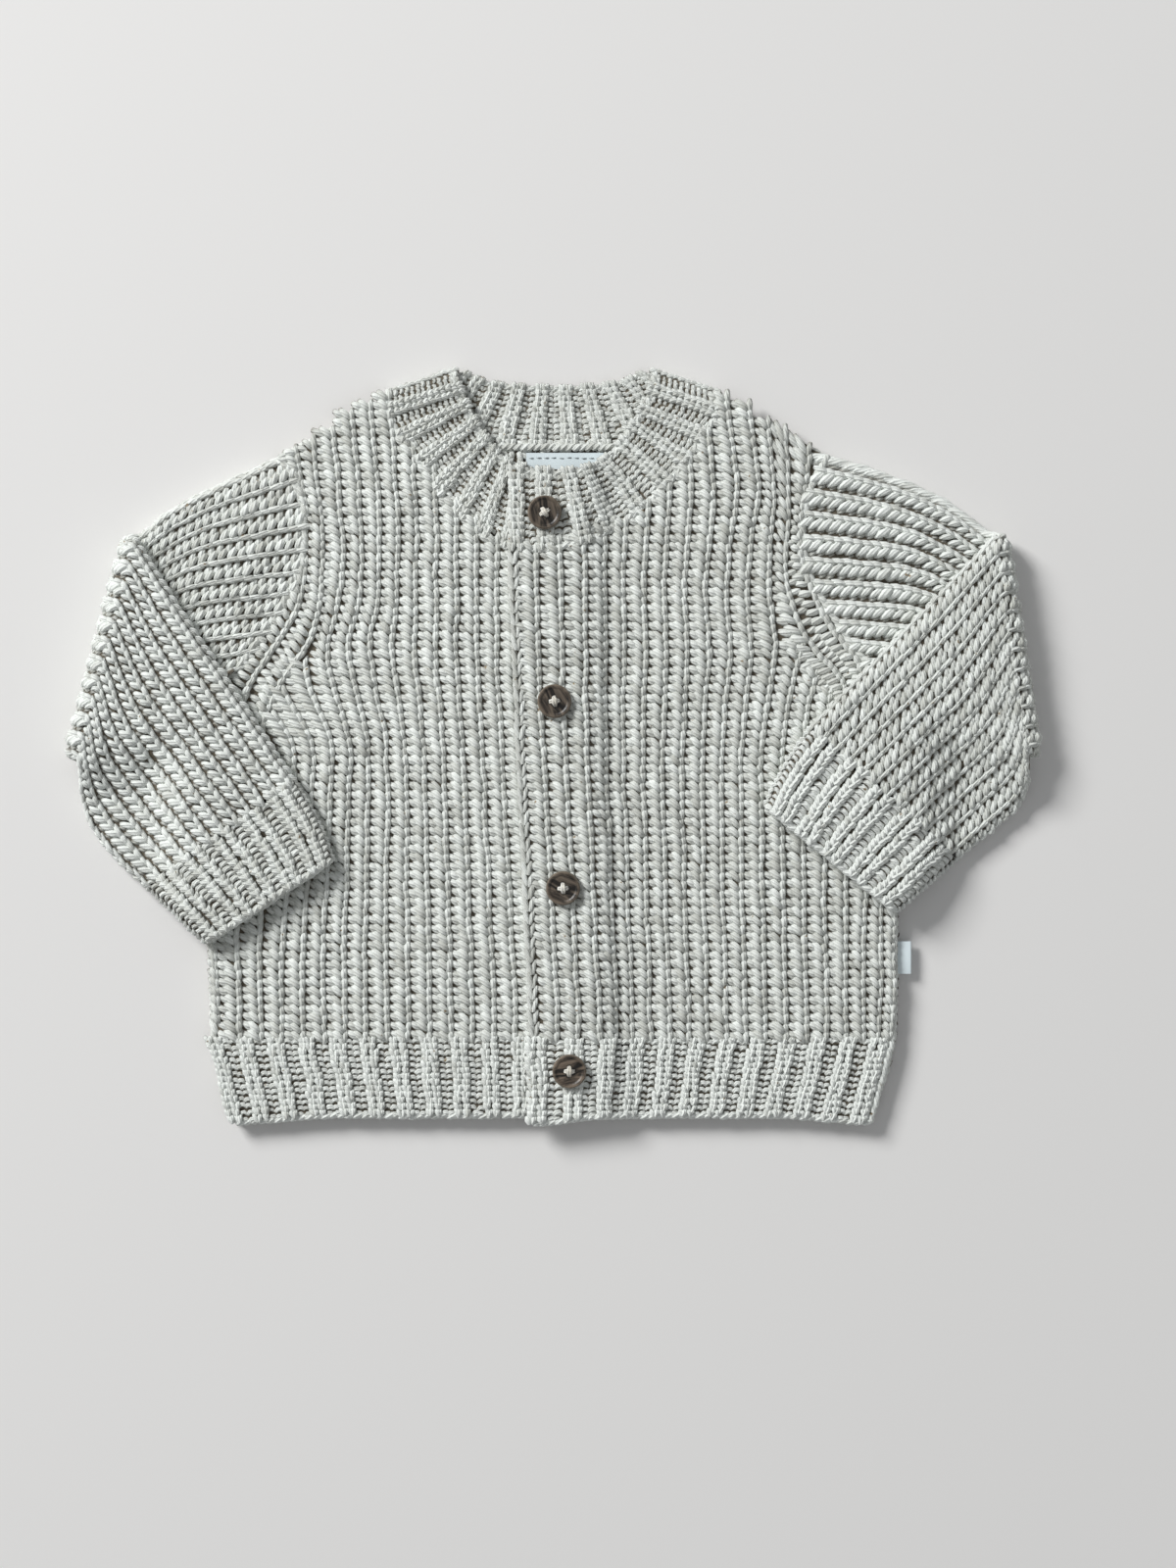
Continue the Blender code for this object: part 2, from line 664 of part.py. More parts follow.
def thread_cross(number, x, y, turn, material):
    """Two crossed bars of thread on the button's face, with a leg down through each hole."""
    half = 0.5 * THREAD_WIDTH
    reach = BUTTON_HOLE_OFFSET + 0.5 * half
    seat = BUTTON_THICKNESS - BUTTON_DISH + GAP
    levels = (0.0, seat, seat + THREAD_RISE)
    inner = BUTTON_HOLE_OFFSET - half
    outline = [
        (half, half),
        (inner, half),
        (reach, half),
        (reach, -half),
        (inner, -half),
    ]
    cross = bmesh.new()
    rings = {}
    for level in levels:
        ring = []
        for quarter in range(4):
            angle = 0.5 * math.pi * -quarter
            cosine, sine = math.cos(angle), math.sin(angle)
            for px, py in outline:
                ring.append((px * cosine - py * sine, px * sine + py * cosine))
        rings[level] = ring
    top = [cross.verts.new((px, py, levels[2])) for px, py in rings[levels[2]]]
    low = [cross.verts.new((px, py, levels[1])) for px, py in rings[levels[1]]]
    count = len(top)
    cross.faces.new(top)
    for i in range(count):
        j = (i + 1) % count
        cross.faces.new((top[i], low[i], low[j], top[j]))
    # Under each bar's end a leg goes down, and the rest of the underside is closed
    corners = []
    for quarter in range(4):
        base = quarter * 5
        a, b, c, d = (low[base + k] for k in (1, 2, 3, 4))
        foot = [cross.verts.new((v.co.x, v.co.y, levels[0])) for v in (a, b, c, d)]
        leg = (a, b, c, d)
        for k in range(4):
            m = (k + 1) % 4
            cross.faces.new((leg[k], foot[k], foot[m], leg[m]))
        cross.faces.new(foot)
        corners += [low[base], a, d]
    cross.faces.new(corners)
    piece = finish(f"button_thread_{number}", cross, material)
    piece.location = np.array([x, y, BUTTON_SEAT]) * MM
    piece.rotation_euler = (0.0, 0.0, math.radians(turn))


def slab(name, low, high, material):
    """A thin rectangular label between two corners."""
    box = bmesh.new()
    bmesh.ops.create_cube(box, size=1.0)
    for vertex in box.verts:
        for axis in range(3):
            vertex.co[axis] = low[axis] if vertex.co[axis] < 0 else high[axis]
    return finish(name, box, material)


def labels(material):
    """The woven label inside the back neck, and the folded tab in the left side seam."""
    base = WALL - LABEL_THICKNESS
    low = (NECK_LABEL_X[0], NECK_LABEL_Y[0], base)
    high = (NECK_LABEL_X[1], NECK_LABEL_Y[1], WALL)
    slab("neck_label", low, high, material)
    start = SIDE_SEAM[2][0] + GAP
    middle = WALL + 0.5 * GAP
    low = (start, SIDE_LABEL_Y[0], middle - 0.5 * SIDE_LABEL_THICKNESS)
    high = (start + SIDE_LABEL_REACH, SIDE_LABEL_Y[1], middle + 0.5 * SIDE_LABEL_THICKNESS)
    slab("side_label", low, high, material)


def main():
    for thing in list(bpy.data.objects):
        bpy.data.objects.remove(thing, do_unlink=True)
    knit = material_of("cotton_brioche_knit", (0.80, 0.76, 0.68), 0.9)
    rib = material_of("cotton_rib_knit", (0.78, 0.74, 0.66), 0.9)
    shell = material_of("brown_button", (0.16, 0.11, 0.08), 0.45)
    thread = material_of("cream_thread", (0.83, 0.79, 0.70), 0.8)
    tape = material_of("white_label", (0.88, 0.88, 0.86), 0.7)

    back("back_panel", knit)
    corners = ((-SIDE_AT_HEM, -SIDE_AT_CORNER), (SIDE_AT_HEM, SIDE_AT_CORNER))
    hem("back_hem", corners[0], corners[1], layer_0, rib)
    front("front_right_panel", -1, knit)
    front("front_left_panel", 1, knit)
    under = (under_edge(HEM_TOP), under_edge(HEM_CORNER))
    over = (band_edge(HEM_TOP), band_edge(HEM_CORNER))
    hem("front_right_hem", under, corners[0], layer_1, rib)
    hem("front_left_hem", over, corners[1], climbing_layer, rib, fixed=CLIMB_COLUMNS, edge_x=over[1])
    neckband("neckband", rib)
    sleeve("right", -1, RIGHT_UPPER_ARM, RIGHT_FOREARM, RIGHT_CUFF, knit, rib)
    sleeve("left", 1, LEFT_UPPER_ARM, LEFT_FOREARM, LEFT_CUFF, knit, rib)
    for number, (x, y, turn) in enumerate(BUTTONS, start=1):
        button(number, x, y, turn, shell, thread)
    labels(tape)


main()
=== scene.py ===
"""Looks for a knitted baby cardigan that lies flat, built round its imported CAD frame.

Lengths in the tables are millimetres in the row frame: X to the wearer's left, Y to the neck, Z up.
A knitted face is described by a chart: columns across, rows up, and millimetres out of the face.
"""

import json
import logging
from collections.abc import Callable
from dataclasses import dataclass
from enum import Enum, IntEnum
from functools import partial

import bmesh
import bpy
import numpy as np
from mathutils.bvhtree import BVHTree
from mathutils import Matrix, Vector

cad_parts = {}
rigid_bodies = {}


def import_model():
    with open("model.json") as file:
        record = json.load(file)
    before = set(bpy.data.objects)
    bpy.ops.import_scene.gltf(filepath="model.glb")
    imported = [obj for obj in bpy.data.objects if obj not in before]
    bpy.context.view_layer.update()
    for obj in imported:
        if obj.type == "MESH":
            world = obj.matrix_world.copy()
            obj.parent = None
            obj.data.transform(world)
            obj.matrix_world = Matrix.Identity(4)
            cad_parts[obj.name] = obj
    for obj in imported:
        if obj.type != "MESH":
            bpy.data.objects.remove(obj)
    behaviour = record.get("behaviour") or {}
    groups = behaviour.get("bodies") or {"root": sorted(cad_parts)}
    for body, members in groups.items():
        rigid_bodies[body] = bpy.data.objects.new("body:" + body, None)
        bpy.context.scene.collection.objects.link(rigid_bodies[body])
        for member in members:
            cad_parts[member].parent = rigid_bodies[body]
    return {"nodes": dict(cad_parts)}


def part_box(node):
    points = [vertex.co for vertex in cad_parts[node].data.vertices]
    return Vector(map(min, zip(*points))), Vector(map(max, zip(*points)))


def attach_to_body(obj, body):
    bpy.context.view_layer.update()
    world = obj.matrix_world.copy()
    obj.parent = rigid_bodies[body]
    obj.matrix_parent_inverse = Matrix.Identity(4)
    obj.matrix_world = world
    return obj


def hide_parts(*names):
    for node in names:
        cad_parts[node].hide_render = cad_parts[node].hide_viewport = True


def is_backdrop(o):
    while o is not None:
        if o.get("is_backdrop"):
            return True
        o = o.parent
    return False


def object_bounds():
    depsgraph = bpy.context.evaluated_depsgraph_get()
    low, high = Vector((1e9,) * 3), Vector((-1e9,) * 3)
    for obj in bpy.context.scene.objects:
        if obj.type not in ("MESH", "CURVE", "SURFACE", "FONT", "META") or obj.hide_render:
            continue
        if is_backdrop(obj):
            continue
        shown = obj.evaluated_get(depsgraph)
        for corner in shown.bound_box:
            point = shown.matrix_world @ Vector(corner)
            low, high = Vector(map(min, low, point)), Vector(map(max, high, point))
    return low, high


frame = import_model()
CAD_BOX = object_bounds()

MM = 0.001
BODY = "root"
LOG = logging.getLogger("baby_cardigan")

# Layers of the lay, as in the CAD model
WALL = 3.2
GAP = 0.3
LAYER = 3.5
STACK = 6.7
FRONT_TOP = LAYER + WALL
FOLD_AXIS = 6.95
OVERLAP = 30.0
CLIMB = 9.0
BAND_TOP = 80.0
BAND_EDGE_AT_TOP = -18.6
BAND_SLANT = 0.0455
HEM_TOP = -120.4
HEM_MIDDLE = -152.8
HEM_CORNER = -155.6
SIDE_AT_CORNER = 130.4

# Gauge of the knitting
ROW = 3.65  # a row of fisherman's rib
SLEEVE_ROW = 4.0  # the same, as the sleeves' weight draws it out
COLUMN = 7.4  # a repeat of fisherman's rib, at which the loops below have their thickness
RIB_ROW = 2.5  # a row of 2 by 2 rib
RIB_REPEAT = 12.5
NECK_REPEAT = 10.5
WANDER = 0.5  # how far columns and rows stray from even spacing


class Side(IntEnum):
    """The wearer's side, which is also the sign of X there."""

    RIGHT = -1
    LEFT = 1


class Facing(IntEnum):
    """Which way a face looks, as the sign of Z; one that turns looks more than one way."""

    DOWN = -1
    TURNING = 0
    UP = 1


class Slot(Enum):
    """The record's material slots for cloth and yarn."""

    BRIOCHE = "cotton_brioche_knit"
    RIB = "cotton_rib_knit"
    THREAD = "cream_thread"
    LABEL = "white_label"


# Numbers and shapes


def smooth_step(value: np.ndarray) -> np.ndarray:
    """0 below 0, 1 above 1, and a smooth slope between."""
    t = np.clip(value, 0.0, 1.0)
    return t * t * (3 - 2 * t)


def band_edge(y: np.ndarray) -> np.ndarray:
    """X of the left front's free edge at height y."""
    return BAND_EDGE_AT_TOP + np.maximum(BAND_TOP - y, 0.0) * BAND_SLANT


def climb(x: np.ndarray, y: np.ndarray) -> np.ndarray:
    """How far the left front stands above layer 1, where it passes over the right front."""
    return LAYER * smooth_step((band_edge(y) + OVERLAP + GAP + CLIMB - x) / CLIMB)


def band_rail(ys: np.ndarray, aside: float, lift: float) -> np.ndarray:
    """A line along the left front's free edge, so far inside it and above the underside there."""
    x = band_edge(ys)
    return np.column_stack([x + aside, ys, LAYER + climb(x, ys) + lift])


def through(rows: np.ndarray | tuple, places: np.ndarray) -> np.ndarray:
    """Points at the given places on the smooth curve through a table's rows.

    Args:
        rows: Points, one a row; place 0 is the first row.
        places: Where to take points.

    Returns:
        One point for each place.
    """
    rows = np.asarray(rows, dtype=float)
    padded = np.concatenate([[2 * rows[0] - rows[1]], rows, [2 * rows[-1] - rows[-2]]])
    index = np.clip(places.astype(int), 0, len(rows) - 2)
    t = (places - index).reshape(-1, *[1] * (rows.ndim - 1))
    p0, p1, p2, p3 = (padded[index + step] for step in range(4))
    square = 2 * p0 - 5 * p1 + 4 * p2 - p3
    cube = 3 * p1 - p0 - 3 * p2 + p3
    return 0.5 * (2 * p1 + (p2 - p0) * t + square * t**2 + cube * t**3)


def smooth_line(rows: np.ndarray | tuple, count: int) -> np.ndarray:
    """That many points on the smooth curve through a table's rows, from the first row to the last."""
    return through(rows, np.linspace(0.0, len(rows) - 1.0, count))


def run_along(points: np.ndarray) -> np.ndarray:
    """How far each point of a line is from the first one, along the line."""
    return np.concatenate([[0.0], np.cumsum(np.linalg.norm(np.diff(points, axis=0), axis=1))])


def points_at(places: np.ndarray, known: np.ndarray | list, points: np.ndarray) -> np.ndarray:
    """Points at the given places, straight between points whose places are known."""
    return np.stack([np.interp(places, known, values) for values in points.T], axis=-1)


def at_height(line: np.ndarray, z: float) -> np.ndarray:
    """A line of (x, y) points, all at one height."""
    return np.column_stack([line, np.full(len(line), z)])


def inside(points: np.ndarray, outline: np.ndarray) -> np.ndarray:
    """Whether each (x, y) point lies in a closed outline."""
    x, y = points[:, 0:1], points[:, 1:2]
    x0, y0 = outline[:, 0], outline[:, 1]
    x1, y1 = np.roll(x0, -1), np.roll(y0, -1)
    crossed = (y0 > y) != (y1 > y)
    slope = (x1 - x0) / np.where(y1 == y0, 1e-9, y1 - y0)
    return (crossed & (x < x0 + slope * (y - y0))).sum(axis=1) % 2 == 1


STRAIGHT_WAYS = ((0, 0), (1, 0), (-1, 0), (0, 1), (0, -1))
SLANTING_WAYS = ((0.7, 0.7), (-0.7, 0.7), (0.7, -0.7), (-0.7, -0.7))


def deep_inside(points: np.ndarray, outline: np.ndarray, margin: float) -> np.ndarray:
    """Whether each point lies in an outline with at least the margin all round."""
    ways = margin * np.array(STRAIGHT_WAYS + SLANTING_WAYS)
    return np.all([inside(points[:, :2] + way, outline) for way in ways], axis=0)


def near(points: np.ndarray, outline: np.ndarray, margin: float) -> np.ndarray:
    """Whether each point lies in an outline, or outside it by less than the margin."""
    ways = margin * np.array(STRAIGHT_WAYS)
    return np.any([inside(points[:, :2] + way, outline) for way in ways], axis=0)


def fractions(values: np.ndarray, knots: np.ndarray) -> tuple[np.ndarray, np.ndarray]:
    """The knot before each value and the share of the way to the next one, straight on past the ends."""
    index = np.clip(np.searchsorted(knots, values, side="right") - 1, 0, len(knots) - 2)
    return index, (values - knots[index]) / (knots[index + 1] - knots[index])


def face_normals(grid: np.ndarray) -> np.ndarray:
    """The way out of a face at each of its grid's points."""
    normals = np.cross(np.gradient(grid, axis=1), np.gradient(grid, axis=0))
    return normals / np.maximum(np.linalg.norm(normals, axis=2, keepdims=True), 1e-9)


def smoothed(values: np.ndarray, reach: int) -> np.ndarray:
    """Values of a grid, each with the mean of its neighbours within the reach, both ways."""
    for axis in (0, 1):
        padded = np.pad(values, [(reach, reach) if axis == side else (0, 0) for side in (0, 1)], mode="edge")
        values = np.lib.stride_tricks.sliding_window_view(padded, 2 * reach + 1, axis=axis).mean(axis=2)
    return values


def settled(grid: np.ndarray, node: str, reach: float = 2.0) -> np.ndarray:
    """Moves a face's points in or out onto the solid that they belong to.

    Args:
        grid: Points as (row, column, 3), in millimetres, close to the solid's outside.
        node: Name of the solid.
        reach: The most that a point moves.

    Returns:
        The moved points.
    """
    solid = frame["nodes"][node].data
    corners = [vert.co[:] for vert in solid.vertices]
    tree = BVHTree.FromPolygons(corners, [face.vertices[:] for face in solid.polygons])
    normals = face_normals(grid)
    nearest = [tree.find_nearest(point)[0][:] for point in (grid * MM).reshape(-1, 3)]
    rise = ((np.array(nearest).reshape(grid.shape) / MM - grid) * normals).sum(axis=2)
    return grid + smoothed(np.clip(rise, -reach, reach), 1)[..., None] * normals


def wandering(rows: int, columns: int, seed: int) -> np.ndarray:
    """Slow, even unevenness between -1 and 1, as (row, column, 2), for points 1 mm apart in a column."""
    places = np.random.default_rng(seed).uniform(-1.0, 1.0, (rows // 14 + 3, columns // 2 + 3, 2))
    return smooth_line(smooth_line(places, rows).transpose(1, 0, 2), columns).transpose(1, 0, 2)


class Chart:
    """A knitted face: places stitch coordinates, as columns across, rows up and millimetres out."""

    def __init__(self, grid: np.ndarray, rows: np.ndarray, columns: np.ndarray, facing: Facing) -> None:
        """Keeps the face's grid and works out which way it faces.

        Args:
            grid: Points as (row, column, 3), in millimetres.
            rows: Row number of each line of points.
            columns: Column number of each point in a line.
            facing: Which way the face looks.
        """
        self.grid, self.rows, self.columns = grid, rows, columns
        level = np.broadcast_to(np.array([0.0, 0.0, float(facing)]), grid.shape)
        self.normals = face_normals(grid) if facing is Facing.TURNING else level

    def place(self, across: np.ndarray, up: np.ndarray, out: np.ndarray | float) -> np.ndarray:
        """Points in millimetres for stitch coordinates of any one shape."""
        i, s = fractions(np.asarray(up, dtype=float), self.rows)
        j, t = fractions(np.asarray(across, dtype=float), self.columns)
        s, t = s[..., None], t[..., None]

        def mix(grid: np.ndarray) -> np.ndarray:
            low = grid[i, j] * (1 - t) + grid[i, j + 1] * t
            return low * (1 - s) + (grid[i + 1, j] * (1 - t) + grid[i + 1, j + 1] * t) * s

        return mix(self.grid) + mix(self.normals) * np.asarray(out)[..., None]

    def middles(self, cells: np.ndarray) -> np.ndarray:
        """Points on the face in the middle of cells, which are given as (column, row)."""
        return self.place(cells[:, 0], cells[:, 1], 0.0)

    def rail(self, row: float, out: float, count: int) -> np.ndarray:
        """A line of points along a row, from the first column to the last."""
        return self.place(np.linspace(self.columns[0], self.columns[-1], count), np.full(count, row), out)

    def outward(self, across: np.ndarray, up: np.ndarray) -> np.ndarray:
        """The way out of the face at stitch coordinates."""
        i = np.clip(np.searchsorted(self.rows, up) - 1, 0, len(self.rows) - 1)
        j = np.clip(np.searchsorted(self.columns, across) - 1, 0, len(self.columns) - 1)
        return self.normals[i, j]

    def cells(self, first: float = 0.5, lowest: float = 0.5) -> np.ndarray:
        """The middle of every column, at every row from the lowest."""
        across = np.arange(self.columns[0] + first, self.columns[-1], 1.0)
        up = np.arange(self.rows[0] + lowest, self.rows[-1] + 0.35, 1.0)
        return np.array(np.meshgrid(across, up)).reshape(2, -1).T


def ladder(
    rungs: list | tuple,
    columns: np.ndarray,
    height: Callable[[np.ndarray, np.ndarray], np.ndarray] | float,
    row: float = ROW,
    facing: Facing = Facing.UP,
    soften: float = 5.0,
) -> Chart:
    """A chart from rungs that each cross every column.

    Args:
        rungs: Points (x, y) of each rung, from the lowest one up.
        columns: Column number of each point of a rung.
        height: The face's z, or what gives it at x and y.
        row: Height of a row.
        facing: Which way the face looks.
        soften: Length over which the columns' bends are rounded.

    Returns:
        The chart, with row 0 on the first rung.
    """
    every = np.arange(columns[0], columns[-1] + 0.5, 1.0)
    crossed = np.stack([points_at(every, columns, rung) for rung in np.array(rungs, dtype=float)])
    run = run_along(crossed[:, len(every) // 2])
    count = int(run[-1]) + 2
    at = np.linspace(0.0, run[-1], count)
    fine = points_at(at, run, crossed.reshape(len(crossed), -1))
    if soften:
        reach = int(3 * soften)
        kernel = np.exp(-0.5 * (np.arange(-reach, reach + 1) / soften) ** 2)
        kernel /= kernel.sum()
        before = 2 * fine[0] - fine[reach:0:-1]
        after = 2 * fine[-1] - fine[-2 : -reach - 2 : -1]
        padded = np.vstack([before, fine, after])
        fine = np.column_stack([np.convolve(line, kernel, "valid") for line in padded.T])
    plan = fine.reshape(count, len(every), 2)
    plan = plan + WANDER * wandering(count, len(every), int(abs(crossed.sum())) % 1000)
    z = height(plan[..., 0], plan[..., 1]) if callable(height) else np.full(plan.shape[:2], height)
    return Chart(np.dstack([plan, z]), at / row, every, facing)


def level_rungs(ys: tuple, xs: np.ndarray) -> list:
    """Level rungs at the given heights, which all cross columns at the same x."""
    return [[(x, y) for x in xs] for y in ys]


# Yarn


@dataclass(frozen=True)
class Loop:
    """One strand of a stitch: its way, its sides and how light it is, from 0 to 1.

    The way's points are (across, up, out, half thickness): in repeats, in rows and twice in millimetres.
    """

    way: tuple[tuple[float, float, float, float], ...]
    sides: int = 6
    tone: float = 0.5


def knit_legs(outer: tuple, inner: tuple, thickness: tuple) -> tuple[Loop, ...]:
    """The four legs of a repeat's two knit columns, from the right one to the left one.

    Args:
        outer: How far the outer legs lie from the repeat's middle, at their head, middle and foot.
        inner: The same of the inner legs.
        thickness: Half thickness at the same places.

    Returns:
        The legs.
    """
    legs = ((-1, outer, 0.0), (-1, inner, 0.1), (1, inner, 0.1), (1, outer, 0.0))
    ups = (0.75, 0.3, -0.35)
    return tuple(
        Loop(tuple((side * x, *rest) for x, *rest in zip(across, ups, (-1.4, crown, -0.8), thickness)))
        for side, across, crown in legs
    )


class Rib(Enum):
    """The knitted patterns, each as the loops of one repeat of one row."""

    FISHERMAN = (
        Loop(((0.20, 0.62, -2.0, 1.0), (0.33, 0.36, -0.8, 1.3), (0.46, 0.04, -0.4, 1.42),
              (0.58, -0.26, -0.6, 1.3), (0.68, -0.52, -1.8, 0.95)), 7),
        Loop(((0.735, -0.80, -1.9, 0.85), (0.765, -0.35, -0.7, 1.1), (0.80, 0.20, -0.55, 1.15),
              (0.84, 0.78, -1.7, 0.8))),
        Loop(((-0.10, 0.46, -2.1, 1.0), (0.04, 0.22, -1.3, 1.3), (0.19, -0.02, -1.05, 1.38),
              (0.34, -0.28, -1.6, 1.05))),
    )
    # Here the raised lobe and cord are painted lighter and the deep purl loop darker than the yarn: painted
    # light and shade
    FISHERMAN_OPEN = (
        Loop(((0.16, 0.60, -2.0, 0.95), (0.28, 0.34, -0.8, 1.35), (0.42, 0.02, -0.3, 1.5),
              (0.55, -0.28, -0.6, 1.35), (0.65, -0.56, -1.8, 0.95)), 7, 0.75),
        Loop(((0.70, -0.80, -1.7, 0.95), (0.74, -0.30, -0.5, 1.2), (0.79, 0.25, -0.4, 1.2),
              (0.84, 0.80, -1.6, 0.9)), tone=0.7),
        Loop(((-0.02, 0.40, -2.3, 0.8), (0.05, 0.15, -1.8, 1.0), (0.13, -0.10, -1.8, 1.0),
              (0.20, -0.32, -2.3, 0.8)), tone=0.4),
    )
    FISHERMAN_BACK = (
        Loop(((0.2, 0.6, -2.4, 1.0), (0.38, 0.25, -1.4, 1.35),
              (0.52, -0.15, -1.4, 1.35), (0.64, -0.5, -2.4, 0.9)), 4),
        Loop(((0.74, -0.72, -2.0, 1.05), (0.78, 0.0, -1.3, 1.1), (0.84, 0.78, -2.0, 1.05)), 4),
        Loop(((-0.05, 0.4, -2.5, 0.9), (0.14, 0.05, -1.5, 1.3), (0.34, -0.3, -2.3, 0.9)), 4),
    )
    TWO_BY_TWO = (
        *knit_legs((0.245, 0.20, 0.145), (0.035, 0.075, 0.125), (0.78, 1.16, 0.88)),
        Loop(((0.27, -0.22, -2.0, 0.9), (0.345, 0.16, -1.3, 1.15), (0.42, 0.16, -1.2, 1.15),
              (0.50, -0.22, -1.7, 0.95)), 5),
        Loop(((0.50, -0.28, -1.7, 0.95), (0.58, 0.10, -1.2, 1.15), (0.655, 0.10, -1.3, 1.15),
              (0.73, -0.28, -2.0, 0.9)), 5),
    )
    # Its purl loop, which lies deep, is painted a little darker than the yarn: painted shade
    TWO_BY_TWO_CLOSED = (
        *knit_legs((0.33, 0.27, 0.20), (0.06, 0.11, 0.175), (0.8, 1.28, 0.95)),
        Loop(((0.35, -0.2, -1.9, 1.0), (0.45, 0.15, -1.2, 1.2), (0.55, 0.15, -1.2, 1.2),
              (0.65, -0.2, -1.9, 1.0)), 5, 0.45),
    )
    TWO_BY_TWO_BACK = (
        Loop(((-0.18, 0.8, -1.9, 1.0), (-0.13, -0.2, -1.3, 1.3)), 4),
        Loop(((0.18, 0.8, -1.9, 1.0), (0.13, -0.2, -1.3, 1.3)), 4),
        Loop(((0.27, 0.0, -1.9, 0.9), (0.5, 0.1, -1.5, 1.1), (0.73, 0.0, -1.9, 0.9)), 4),
    )
    CHAIN = (
        Loop(((0.05, 0.9, -1.3, 0.7), (0.22, 0.45, -0.6, 1.0), (0.42, -0.25, -1.0, 0.75))),
        Loop(((0.95, 0.9, -1.3, 0.7), (0.78, 0.45, -0.6, 1.0), (0.58, -0.25, -1.0, 0.75))),
    )


def set_node(tree: bpy.types.NodeTree, node: bpy.types.Node, **given: object) -> bpy.types.Node:
    """Sets a node's properties, and fills or links its inputs.

    Args:
        tree: The node's tree.
        node: The node.
        **given: A property by its own name, which is in small letters, or an input by its name, or by the
            letter i and its number. An input takes a value, an output, or a node for its first output.

    Returns:
        The node.
    """
    for name, value in given.items():
        numbered = name[0] == "i" and name[1:].isdigit()
        if name[0].islower() and not numbered:
            setattr(node, name, value)
            continue
        socket = node.inputs[int(name[1:]) if numbered else name.replace("_", " ")]
        source = value.outputs[0] if isinstance(value, bpy.types.Node) else value
        if isinstance(source, bpy.types.NodeSocket):
            tree.links.new(source, socket)
        else:
            socket.default_value = source
    return node


def add_node(tree: bpy.types.NodeTree, kind: str, **given: object) -> bpy.types.Node:
    """Adds a node of a kind to a tree, with its settings and links as set_node takes them."""
    return set_node(tree, tree.nodes.new(kind), **given)


def new_piece(name: str, mesh: bpy.types.Mesh, finish: bpy.types.Material) -> bpy.types.Object:
    """Makes a piece of a mesh, with one finish all over."""
    mesh.materials.clear()
    mesh.materials.append(finish)
    piece = bpy.data.objects.new(name, mesh)
    bpy.context.collection.objects.link(piece)
    return piece


def attach(slot: Slot, *pieces: bpy.types.Object) -> None:
    """Lets pieces ride on the cardigan's body."""
    for piece in pieces:
        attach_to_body(piece, BODY)


